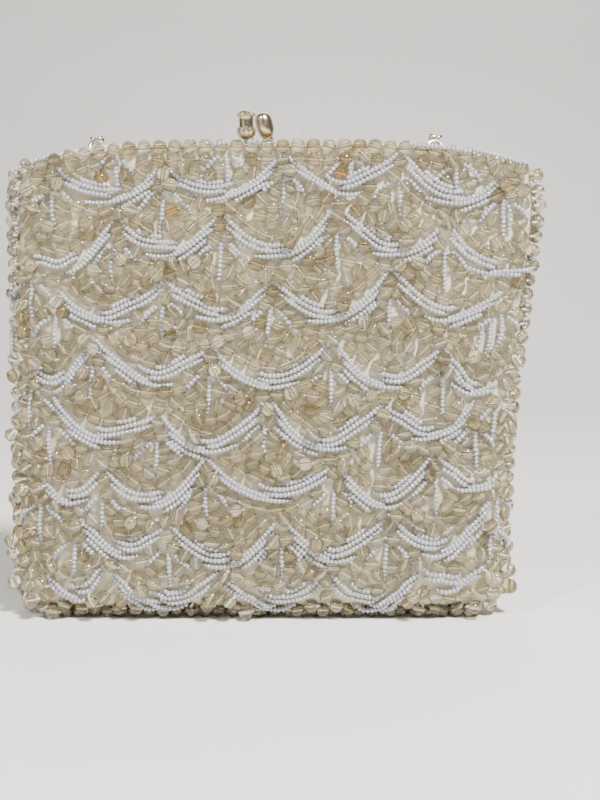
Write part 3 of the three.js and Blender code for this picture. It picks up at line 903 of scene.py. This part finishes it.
def thread_template():
    """The stitch through a clear bead: along its bore, and down to the cloth at both ends."""
    sizes = bpy.context.scene.bag_beads
    reach, thick = sizes.clear / 2, sizes.thread / 2
    bpy.ops.object.select_all(action="DESELECT")
    bpy.ops.mesh.primitive_cylinder_add(vertices=4, radius=thick, depth=reach * 1.85)
    stitch = added("stitch")
    edit(stitch)
    for end in (-1, 1):
        select_where(stitch, lambda middle, normal: normal.z * end > 0.9)
        slide = {"value": (-reach * 0.5, 0, end * reach * 0.2)}
        bpy.ops.mesh.extrude_region_move(TRANSFORM_OT_translate=slide)
    done()
    return stitch


def link_template():
    """An oval chain link, long way along Z, with its flat side to X."""
    metal = bpy.context.scene.bag_metal
    wire, round_way = metal.link_wire / 2, (metal.link_width - metal.link_wire) / 2
    bpy.ops.object.select_all(action="DESELECT")
    bpy.ops.mesh.primitive_torus_add(
        major_segments=12, minor_segments=6, major_radius=round_way, minor_radius=wire,
        rotation=(0, math.pi / 2, 0)
    )
    link = added("link")
    settle(link)
    edit(link)
    for end in (-1, 1):
        select_where(link, lambda middle, normal: middle.z * end > 1e-5, "VERT")
        bpy.ops.transform.translate(value=(0, 0, end * (metal.link - metal.link_width) / 2))
    done()
    return link


def template_arrays(obj):
    mesh = obj.data
    points = np.empty(len(mesh.vertices) * 3)
    mesh.vertices.foreach_get("co", points)
    faces = [tuple(face.vertices) for face in mesh.polygons]
    bpy.data.objects.remove(obj)
    return points.reshape(-1, 3), faces


def field(name, template, strung, smooth_to=None):
    """A template copied to every strung bead and turned along its thread, with its tint as an attribute."""
    points, faces = template_arrays(template)
    at, aim = np.array(strung.at), np.array(strung.aim)
    size, tint = np.array(strung.size), np.array(strung.tint)
    along = aim / np.linalg.norm(aim, axis=1, keepdims=True)
    outward = np.array(strung.face) if strung.face else at * [0.25, 1, 0]
    outward[:, 1] = np.where(np.abs(outward[:, 1]) < 1e-6, -1e-6, outward[:, 1])
    outward -= along * (outward * along).sum(1, keepdims=True)
    outward /= np.maximum(np.linalg.norm(outward, axis=1, keepdims=True), 1e-12)
    turned = np.stack([outward, np.cross(along, outward), along], -1) * size[:, None, None]
    places = np.einsum("kij,nj->kni", turned, points) + at[:, None, :]
    count, each = len(at), len(points)
    loops = np.concatenate([face for face in faces])
    starts = np.cumsum([0] + [len(face) for face in faces[:-1]])
    mesh = bpy.data.meshes.new(name)
    mesh.vertices.add(count * each)
    mesh.vertices.foreach_set("co", places.ravel())
    mesh.loops.add(count * len(loops))
    mesh.loops.foreach_set("vertex_index", (loops[None] + each * np.arange(count)[:, None]).ravel())
    mesh.polygons.add(count * len(faces))
    mesh.polygons.foreach_set("loop_start", (starts[None] + len(loops) * np.arange(count)[:, None]).ravel())
    mesh.update(calc_edges=True)
    shade = mesh.attributes.new("tint", "FLOAT", "POINT")
    shade.data.foreach_set("value", np.repeat(tint, each))
    obj = bpy.data.objects.new(name, mesh)
    bpy.context.scene.collection.objects.link(obj)
    if smooth_to:
        smooth(obj, smooth_to)
    return obj


def turned(name, outline, sides):
    """A solid turned about Z, from radii and heights in millimetres, from its foot to its top."""
    (radius, height), *rest = outline
    bpy.ops.object.select_all(action="DESELECT")
    bpy.ops.mesh.primitive_circle_add(vertices=sides, radius=radius * MM, fill_type="NGON")
    solid = added(name)
    edit(solid)
    bpy.ops.mesh.select_all(action="SELECT")
    for next_radius, next_height in rest:
        rise = {"value": (0, 0, (next_height - height) * MM)}
        bpy.ops.mesh.extrude_region_move(TRANSFORM_OT_translate=rise)
        bpy.ops.transform.resize(value=(next_radius / radius, next_radius / radius, 1))
        radius, height = next_radius, next_height
    bpy.ops.mesh.select_all(action="SELECT")
    bpy.ops.mesh.normals_make_consistent(inside=False)
    done()
    return solid


def drawn_along(name, points, radius, sides=8):
    """A round thread drawn along points, with its first end rounded in."""
    bpy.ops.object.select_all(action="DESELECT")
    bpy.ops.mesh.primitive_circle_add(
        vertices=sides, radius=radius * 0.6, fill_type="NGON", location=points[0]
    )
    tube = added(name)
    settle(tube)
    edit(tube)
    bpy.ops.mesh.select_all(action="SELECT")
    for k, (here, there) in enumerate(zip(points, points[1:])):
        bpy.ops.mesh.extrude_region_move(TRANSFORM_OT_translate={"value": tuple(np.subtract(there, here))})
        if k == 0:
            bpy.ops.transform.resize(value=(1 / 0.6, 1 / 0.6, 1))
    bpy.ops.mesh.select_all(action="SELECT")
    bpy.ops.mesh.normals_make_consistent(inside=False)
    done()
    return tube


def ride(obj, slot, material, *nodes):
    """A finished piece: its finish, the body that it rides on and the nodes that it stands for."""
    obj.data.materials.clear()
    obj.data.materials.append(material)
    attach(obj, "root")
    if nodes:
        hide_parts(*nodes)


# Finishes

class Nodes:
    """A material's nodes, added and joined by short calls."""

    def __init__(self, name):
        self.material = bpy.data.materials.new(name)
        self.material.use_nodes = True
        self.tree = self.material.node_tree
        self.shader = self.tree.nodes["Principled BSDF"]

    def add(self, kind, **settings):
        node = self.tree.nodes.new(kind)
        for name, value in settings.items():
            if hasattr(node, name):
                setattr(node, name, value)
            else:
                node.inputs[name.replace("_", " ")].default_value = value
        return node

    def join(self, output, target):
        self.tree.links.new(output, target)

    def set(self, **values):
        for name, value in values.items():
            self.shader.inputs[name.replace("_", " ")].default_value = value

    def ramp(self, source, *stops):
        """A colour ramp with stops of place and colour."""
        node = self.add("ShaderNodeValToRGB")
        elements = node.color_ramp.elements
        while len(elements) < len(stops):
            elements.new(0.5)
        for element, (place, shade) in zip(elements, stops):
            element.position = place
            element.color = (*shade, 1)
        self.join(source, node.inputs["Fac"])
        return node.outputs["Color"]

    def noise(self, scale, detail=3.0, roughness=0.55):
        where = self.add("ShaderNodeTexCoord")
        node = self.add("ShaderNodeTexNoise", Scale=scale, Detail=detail, Roughness=roughness)
        self.join(where.outputs["Object"], node.inputs["Vector"])
        return node.outputs["Fac"]

    def attribute(self, name):
        node = self.add("ShaderNodeAttribute")
        node.attribute_name = name
        return node.outputs["Fac"]

    def bump(self, height, strength, distance):
        node = self.add("ShaderNodeBump", Strength=strength, Distance=distance)
        self.join(height, node.inputs["Height"])
        self.join(node.outputs["Normal"], self.shader.inputs["Normal"])

    def times(self, first, second):
        """Two colours multiplied."""
        node = self.add("ShaderNodeMix", data_type="RGBA", blend_type="MULTIPLY")
        node.inputs["Factor"].default_value = 1
        self.join(first, node.inputs["A"])
        self.join(second, node.inputs["B"])
        return node.outputs["Result"]

    def mix(self, share, first, second):
        node = self.add("ShaderNodeMix", data_type="RGBA")
        self.join(share, node.inputs["Factor"])
        for value, socket in ((first, node.inputs["A"]), (second, node.inputs["B"])):
            if isinstance(value, bpy.types.NodeSocket):
                self.join(value, socket)
            else:
                socket.default_value = (*value, 1)
        return node.outputs["Result"]


@functools.cache
def clear_glass():
    """Pressed champagne glass: a few beads pale, a very few stained amber, and all darkened at their rims by
    painted shade.
    """
    finish = bpy.context.scene.bag_finish
    nodes = Nodes("clear_glass")
    nodes.set(Roughness=0.02, IOR=1.5, Transmission_Weight=0.96)
    shade = nodes.ramp(nodes.attribute("tint"), (0.0, finish.pale_glass), (0.35, finish.glass),
                       (0.8, finish.glass),
                       (0.994, finish.deep_glass), (0.9965, finish.amber))
    # Painted shade: the base colour is multiplied darker where the surface turns away from the view, at each bead's
    # rim.
    facing = nodes.add("ShaderNodeLayerWeight", Blend=0.45)
    rim = nodes.ramp(facing.outputs["Facing"], (0.4, (1, 1, 1)), (0.85, finish.rim))
    nodes.join(nodes.times(shade, rim), nodes.shader.inputs["Base Color"])
    nodes.bump(nodes.noise(420, 2), 0.16, 0.0003)
    return nodes.material


@functools.cache
def pearl():
    """Opaque white glass, faintly lilac to faintly green, with a coat for its gloss; a paler ring round each bead
    between a darker middle and rim is painted lustre and painted shade.
    """
    finish = bpy.context.scene.bag_finish
    nodes = Nodes("pearl")
    nodes.set(Roughness=0.22, IOR=1.7, Coat_Weight=1.0, Coat_IOR=1.75, Coat_Roughness=0.09)
    tint = nodes.ramp(nodes.attribute("tint"), (0.0, finish.lilac), (0.4, finish.pearl), (0.75, finish.pearl),
                      (1.0, finish.green))
    # Painted reflection and shade: by the angle to the view, the base colour is left palest in a ring part-way out
    # and darkened at the middle and at the rim.
    facing = nodes.add("ShaderNodeLayerWeight", Blend=0.35)
    rim = nodes.ramp(facing.outputs["Facing"], (0.0, (0.86, 0.86, 0.88)), (0.45, (1, 1, 1)),
                     (1.0, (0.8, 0.8, 0.84)))
    cloudy = nodes.ramp(nodes.noise(700, 2), (0.35, (0.9, 0.9, 0.93)), (0.65, (1, 1, 1)))
    nodes.join(nodes.times(nodes.times(tint, rim), cloudy), nodes.shader.inputs["Base Color"])
    return nodes.material


@functools.cache
def satin():
    """Cream satin with its weave, puckers and a few rust stains."""
    finish = bpy.context.scene.bag_finish
    nodes = Nodes("satin")
    nodes.set(Roughness=0.42, Sheen_Weight=0.25, Sheen_Roughness=0.4)
    where = nodes.add("ShaderNodeTexCoord")
    weave = nodes.add("ShaderNodeTexWave", bands_direction="Z", Scale=1400, Distortion=1.2)
    nodes.join(where.outputs["Object"], weave.inputs["Vector"])
    stains = nodes.ramp(nodes.noise(38, 5, 0.65), (0.68, (0, 0, 0)), (0.78, (1, 1, 1)))
    cloth = nodes.mix(nodes.noise(90), tuple(0.92 * c for c in finish.satin), finish.satin)
    nodes.join(nodes.mix(stains, cloth, finish.stain), nodes.shader.inputs["Base Color"])
    nodes.bump(weave.outputs["Fac"], 0.35, 0.0001)
    return nodes.material


@functools.cache
def thread_finish():
    """Pale sewing thread, a little fuzzy."""
    finish = bpy.context.scene.bag_finish
    nodes = Nodes("thread")
    nodes.set(Roughness=0.5)
    fuzz = nodes.noise(3000, 2)
    nodes.join(nodes.mix(fuzz, finish.thread, finish.satin), nodes.shader.inputs["Base Color"])
    nodes.bump(fuzz, 0.4, 0.0001)
    return nodes.material


def plated(name, plating, worn):
    """Plating, worn in patches and lightly scratched."""
    nodes = Nodes(name)
    nodes.set(Metallic=1.0)
    wear = nodes.ramp(nodes.noise(420, 6, 0.6), (0.45, (0, 0, 0)), (0.7, (1, 1, 1)))
    nodes.join(nodes.mix(wear, plating, worn), nodes.shader.inputs["Base Color"])
    rough = nodes.add("ShaderNodeMapRange")
    rough.inputs["To Min"].default_value = 0.14
    rough.inputs["To Max"].default_value = 0.32
    nodes.join(nodes.noise(900, 4), rough.inputs["Value"])
    nodes.join(rough.outputs["Result"], nodes.shader.inputs["Roughness"])
    nodes.bump(nodes.noise(1500, 3), 0.1, 0.0001)
    return nodes.material


@functools.cache
def champagne_metal():
    """Pale gold plating, worn to silver in patches."""
    finish = bpy.context.scene.bag_finish
    return plated("champagne_metal", finish.gold, finish.worn)


@functools.cache
def silver_metal():
    """Bright plating, a little yellowed in patches."""
    finish = bpy.context.scene.bag_finish
    return plated("silver_metal", finish.worn, tuple(0.96 * c for c in finish.worn))


@functools.cache
def floor_finish():
    """Smooth pale paint."""
    finish = bpy.context.scene.bag_finish
    nodes = Nodes("floor")
    nodes.set(Roughness=0.85)
    grain = nodes.noise(60, 4)
    paler = tuple(min(1, c * 1.03) for c in finish.floor)
    nodes.join(nodes.mix(grain, finish.floor, paler), nodes.shader.inputs["Base Color"])
    return nodes.material


# Operators

class BAG_OT_studio(bpy.types.Operator):
    """Sets up the pale floor, the soft lights and the camera"""

    bl_idname = "bag.studio"
    bl_label = "Studio"

    def execute(self, context):
        view = context.scene.bag_view
        aim = Vector((view.aim_x, 0, view.aim_z))
        back = Vector((0, -math.cos(view.elevation), math.sin(view.elevation)))
        camera = bpy.data.objects.new("camera", bpy.data.cameras.new("camera"))
        camera.data.lens = view.lens
        camera.data.clip_start, camera.data.clip_end = 0.01, 20
        turn = (-back).to_track_quat("-Z", "Y").to_matrix().to_4x4() @ Matrix.Rotation(view.roll, 4, "Z")
        camera.matrix_world = Matrix.Translation(aim + back * view.distance) @ turn
        context.scene.collection.objects.link(camera)
        context.scene.camera = camera
        self.floor()
        self.lights(context)
        return {"FINISHED"}

    def floor(self):
        bpy.ops.object.select_all(action="DESELECT")
        bpy.ops.mesh.primitive_plane_add(size=5, location=(0, -1.9, 0))
        floor = added("floor")
        edit(floor)
        select_where(floor, lambda middle, normal: middle.y > 2.4, "EDGE")
        bend, steps = 0.7, 12
        for k in range(steps):
            a, b = math.pi / 2 * k / steps, math.pi / 2 * (k + 1) / steps
            rise = (0, bend * (math.sin(b) - math.sin(a)), bend * (math.cos(a) - math.cos(b)))
            bpy.ops.mesh.extrude_region_move(TRANSFORM_OT_translate={"value": rise})
        bpy.ops.mesh.extrude_region_move(TRANSFORM_OT_translate={"value": (0, 0, 1.5)})
        done()
        settle(floor)
        smooth(floor, 60)
        floor.data.materials.append(floor_finish())

    def lights(self, context):
        lamps = (
            ("key", (0.4, -0.75, 1.1), 0.24, 50),
            ("fill", (-0.9, -0.8, 0.5), 0.9, 1.5),
            ("glint", (-0.55, -0.7, 0.85), 0.12, 7),
            ("behind", (0.1, 0.8, 0.9), 0.8, 4),
        )
        for name, place, size, power in lamps:
            lamp = bpy.data.objects.new(name, bpy.data.lights.new(name, "AREA"))
            lamp.data.shape = "DISK"
            lamp.data.size = size
            lamp.data.energy = power
            lamp.data.color = (1, 0.98, 0.94)
            lamp.location = place
            lamp.rotation_euler = (Vector((0, 0, 0.08)) - Vector(place)).to_track_quat("-Z", "Y").to_euler()
            context.scene.collection.objects.link(lamp)
        world = context.scene.world or bpy.data.worlds.new("world")
        context.scene.world = world
        world.use_nodes = True
        sky = world.node_tree.nodes["Background"]
        sky.inputs["Color"].default_value = (1, 0.99, 0.97, 1)
        sky.inputs["Strength"].default_value = 0.14


class BAG_OT_pouch(bpy.types.Operator):
    """Sews the satin pouch, a soft wall with an open mouth, puckered between its stitches"""

    bl_idname = "bag.pouch"
    bl_label = "Pouch"

    around, rows = 84, 38

    def execute(self, context):
        form = bag()
        bpy.ops.object.select_all(action="DESELECT")
        bpy.ops.mesh.primitive_circle_add(vertices=self.around, radius=0.05, fill_type="NGON")
        pouch = added("satin_pouch")
        edit(pouch)
        bpy.ops.mesh.select_all(action="SELECT")
        bpy.ops.mesh.inset(thickness=0.008)
        bpy.ops.mesh.select_all(action="SELECT")
        select_where(pouch, lambda middle, normal: math.hypot(middle.x, middle.y) > 0.0495, "EDGE")
        for _ in range(self.rows):
            bpy.ops.mesh.extrude_edges_move(TRANSFORM_OT_translate={"value": (0, 0, 0.001)})
        done()
        self.shape(pouch, form)
        apply_modifier(pouch, "SOLIDIFY", thickness=form.form.cloth * 0.85, offset=-1)
        apply_modifier(pouch, "SUBSURF", levels=1, render_levels=1)
        smooth(pouch, 60)
        ride(pouch, "cloth", satin(), "pouch")
        return {"FINISHED"}

    def shape(self, pouch, form):
        """Moves the rings of points onto the bag's form, with puckers."""
        depth = form.form.cloth_drop
        for vertex in pouch.data.vertices:
            x, y, z = vertex.co
            turn = math.atan2(y, x) / math.pi  # 0 at the right seam, 1 at the left one
            side = BACK if turn > 0 else FRONT
            share = 1 - 2 * abs(turn)
            ring = z / 0.001 / self.rows
            low, high = form.form.beading, form.form.height - depth
            if math.hypot(x, y) < 0.0495 and z < 1e-6:
                at = form.on_cloth(share * form.span(low), low, side)
                vertex.co = Vector(at) * 0.93
                vertex.co.z = low + 0.0002
                continue
            height = low + (high - low) * ring ** 1.15
            s = share * form.span(height)
            ripple = math.sin(s * 900 + 7 * math.sin(height * 260))
            pucker = ripple * math.sin(height * 800 + 5 * math.sin(s * 210))
            at = form.out(s, height, side, 0.00012 * pucker - 0.0001)
            vertex.co = Vector(at)


class BAG_OT_small_beads(bpy.types.Operator):
    """Strings the small pearly beads: swags, sprigs and edge strands, front and back"""

    bl_idname = "bag.small_beads"
    bl_label = "Small beads"

    def execute(self, context):
        for side, word in ((FRONT, "front"), (BACK, "back")):
            for group, strung in sides()[side].seeds.items():
                strands = field(f"{word}_{group}", seed_template(), strung, smooth_to=65)
                ride(strands, "pearl_beads", pearl())
        return {"FINISHED"}


class BAG_OT_clear_beads(bpy.types.Operator):
    """Strings the clear beads over the front, the back and the underside"""

    bl_idname = "bag.clear_beads"
    bl_label = "Clear beads"

    def execute(self, context):
        pieces = (("front", sides()[FRONT].clear), ("back", sides()[BACK].clear), ("base", underside()))
        for word, strung in pieces:
            beads = field(f"{word}_clear_beads", clear_template(), strung, smooth_to=50)
            ride(beads, "clear_beads", clear_glass(), f"{word}_beading")
        return {"FINISHED"}


class BAG_OT_stitches(bpy.types.Operator):
    """Sews a stitch through each clear bead of the front and the back, and leaves one thread end at the top edge"""

    bl_idname = "bag.stitches"
    bl_label = "Stitches"

    def execute(self, context):
        for side, word in ((FRONT, "front"), (BACK, "back")):
            stitches = field(f"{word}_stitches", thread_template(), sides()[side].clear)
            ride(stitches, "cloth", thread_finish())
        points = np.array([(13.9, -4.6, 163.0), (13.6, -5.0, 164.6), (13.0, -5.3, 166.2), (12.3, -5.4, 167.6),
                           (11.6, -5.3, 168.9)]) * MM
        loose = drawn_along("loose_thread", [tuple(p) for p in points], 0.22 * MM)
        bpy.ops.object.select_all(action="DESELECT")
        bpy.ops.mesh.primitive_ico_sphere_add(subdivisions=2, radius=0.42 * MM, location=tuple(points[-1]))
        knot = added("knot")
        edit(knot)
        bpy.ops.mesh.select_all(action="SELECT")
        bpy.ops.transform.resize(value=(0.85, 0.8, 1.25))
        done()
        settle(knot)
        pick(loose, knot)
        bpy.ops.object.join()
        smooth(loose, 60)
        ride(loose, "cloth", thread_finish())
        return {"FINISHED"}


class BAG_OT_frame(bpy.types.Operator):
    """Plates the frame that is hidden in the mouth, and its hinge pins"""

    bl_idname = "bag.frame"
    bl_label = "Frame"

    def execute(self, context):
        for name in ("front_frame", "back_frame", "left_hinge_pin", "right_hinge_pin"):
            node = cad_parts[name]
            node.data.materials.clear()
            node.data.materials.append(champagne_metal())
        return {"FINISHED"}


class BAG_OT_clasp(bpy.types.Operator):
    """Makes the two kissing knobs: a tulip with petals and a beaded rim, and a plain bullet"""

    bl_idname = "bag.clasp"
    bl_label = "Clasp"

    tulip = ((1.0, 0), (1.0, 5.6), (1.7, 5.75), (2.3, 6.2), (2.75, 7.0), (2.95, 8.0), (3.02, 9.0), (3.1, 9.8),
             (2.7, 9.75), (2.5, 9.5), (2.46, 10.2), (2.42, 11.6), (2.46, 12.8), (2.62, 13.2), (2.9, 13.35),
             (3.05, 13.7), (3.02, 14.1), (2.75, 14.4), (2.3, 14.55), (2.2, 14.75), (1.8, 15.1), (1.1, 15.33),
             (0.4, 15.4))
    bullet = ((1.0, 0), (1.0, 5.5), (1.55, 5.6), (1.75, 5.8), (1.75, 6.5), (1.6, 6.65),
              (1.65, 6.8), (2.1, 7.3),
              (2.55, 8.2), (2.85, 9.4), (2.97, 10.8), (2.97, 12.4), (2.85, 13.4), (2.55, 14.3), (2.0, 14.95),
              (1.2, 15.3), (0.4, 15.4))

    def execute(self, context):
        metal = context.scene.bag_metal
        front = turned("front_tulip_knob", self.tulip, 48)
        for vertex in front.data.vertices:
            x, y, z = vertex.co / MM
            turn = math.atan2(y, x)
            radius = math.hypot(x, y)
            petal, lobe = math.cos(8 * turn), math.cos(12 * turn)
            out = 1.0
            if 6.0 < z < 9.9 and radius > 2.6:
                out += 0.07 * petal * min(1, (z - 6.0) / 2)
                z -= 0.75 * (0.5 - 0.5 * petal) * max(0, (z - 8.4) / 1.4)
            if 13.3 < z < 14.45:
                out += 0.07 * lobe
            vertex.co = Vector((x * out, y * out, z)) * MM
        back = turned("back_bullet_knob", self.bullet, 32)
        knobs = ((front, metal.front_foot, -1, metal.front_lean, "front_knob"),
                 (back, metal.back_foot, 1, metal.back_lean, "back_knob"))
        for knob, across, side, lean, node in knobs:
            knob.rotation_euler = (0, -lean, 0)
            knob.location = (across, side * metal.rail_middle, metal.rail_top + metal.knob_foot)
            settle(knob)
            smooth(knob, 38)
            ride(knob, "metal", champagne_metal(), node)
        return {"FINISHED"}


class BAG_OT_rings(bpy.types.Operator):
    """Bends the two open rings that carry the chain"""

    bl_idname = "bag.rings"
    bl_label = "Rings"

    def execute(self, context):
        metal = context.scene.bag_metal
        for word in ("left", "right"):
            low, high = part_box(f"{word}_ring")
            bpy.ops.object.select_all(action="DESELECT")
            bpy.ops.mesh.primitive_circle_add(
                vertices=10, radius=metal.ring_band / 2, fill_type="NGON", location=(metal.ring_radius, 0, 0)
            )
            ring = added(f"{word}_open_ring")
            settle(ring)
            edit(ring)
            bpy.ops.mesh.select_all(action="SELECT")
            bpy.ops.mesh.spin(steps=26, angle=math.radians(312), center=(0, 0, 0), axis=(0, 1, 0))
            bpy.ops.mesh.select_all(action="SELECT")
            bpy.ops.mesh.normals_make_consistent(inside=False)
            done()
            ring.rotation_euler = (-metal.ring_lean, 0, 0)
            ring.location = ((low.x + high.x) / 2, (low.y + high.y) / 2, high.z - metal.ring_radius)
            settle(ring)
            smooth(ring, 50)
            ride(ring, "metal", silver_metal(), f"{word}_ring")
        return {"FINISHED"}


class BAG_OT_chain(bpy.types.Operator):
    """Links the chain from ring to ring, over the back edge and down behind the bag"""

    bl_idname = "bag.chain"
    bl_label = "Chain"

    def route(self, metal):
        """The chain's middle line from the right ring to the left one."""
        form = bag()
        left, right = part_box("left_ring"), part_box("right_ring")
        ends = {side: (box[0].x + box[1].x) / 2 for side, box in ((-1, left), (1, right))}
        middle, reach = (ends[1] + ends[-1]) / 2, (ends[1] - ends[-1]) / 2
        out = form.form.beading + form.form.cloth
        points = []
        for side in (1, -1):
            x = ends[side]
            top = form.top((x - form.lean(1)) / form.half_width(1, out))
            edge_y = form.half_depth(1, out)
            bend = metal.chain_over
            run = [(x + side * 1.2 * MM, right[1].y + 0.2 * MM, top + bend * 0.9)]
            run += [(x, edge_y + bend * math.cos(turn), top + bend * math.sin(turn))
                    for turn in (1.571, 0.785, 0)]
            full = math.sinh(reach / metal.chain_sag)
            for share in np.linspace(1, 0, 13):
                span = metal.chain_sag * math.asinh(full * share)
                fall = math.cosh(span / metal.chain_sag) - math.cosh(reach / metal.chain_sag)
                z = top - 3 * MM + metal.chain_sag * fall
                across = middle + side * span
                s = np.array([across - form.lean(z / form.form.height)])
                y = form.on_cloth(s, np.array([z]), BACK)[0, 1] + form.form.beading + metal.chain_out
                run.append((across, y, z))
            points.append(run)
        return np.array(points[0] + points[1][-2::-1])

    def execute(self, context):
        metal = context.scene.bag_metal
        line = smooth_line(self.route(metal))
        place, aim = even_steps(line, metal.link - 2 * metal.link_wire - 0.05 * MM)
        links = Strung()
        for k, (at, way) in enumerate(zip(place, aim)):
            outward = np.array([0, 0.75, 0.66]) - way * np.dot(way, [0, 0.75, 0.66])
            outward /= np.linalg.norm(outward)
            turn = math.radians(45 if k % 2 else -45)
            face = outward * math.cos(turn) + np.cross(way, outward) * math.sin(turn)
            links.add(at, way, 1, 0.5, face)
        chain = field("chain_links", link_template(), links, smooth_to=60)
        ride(chain, "metal", champagne_metal(), "chain")
        return {"FINISHED"}


class BAG_PT_panel(bpy.types.Panel):
    """Lists the bag's pieces and their sizes"""

    bl_idname = "BAG_PT_panel"
    bl_label = "Beaded bag"
    bl_space_type = "VIEW_3D"
    bl_region_type = "UI"
    bl_category = "Beaded bag"

    def draw(self, context):
        layout_ = self.layout
        for operator in OPERATORS:
            layout_.operator(operator.bl_idname)
        for name, group in GROUPS.items():
            box = layout_.box()
            for prop in group.__annotations__:
                box.prop(getattr(context.scene, name), prop)


OPERATORS = (BAG_OT_studio, BAG_OT_pouch, BAG_OT_small_beads, BAG_OT_clear_beads,
             BAG_OT_stitches, BAG_OT_frame,
             BAG_OT_clasp, BAG_OT_rings, BAG_OT_chain)
CLASSES = (*GROUPS.values(), *OPERATORS, BAG_PT_panel)


def register():
    for cls in CLASSES:
        bpy.utils.register_class(cls)
    for name, group in GROUPS.items():
        setattr(bpy.types.Scene, name, PointerProperty(type=group))


def unregister():
    for name in GROUPS:
        delattr(bpy.types.Scene, name)
    for cls in reversed(CLASSES):
        bpy.utils.unregister_class(cls)


def main():
    register()
    bpy.ops.bag.studio()
    bpy.ops.bag.pouch()
    bpy.ops.bag.small_beads()
    bpy.ops.bag.clear_beads()
    bpy.ops.bag.stitches()
    bpy.ops.bag.frame()
    bpy.ops.bag.clasp()
    bpy.ops.bag.rings()
    bpy.ops.bag.chain()


if __name__ == "__main__":
    main()
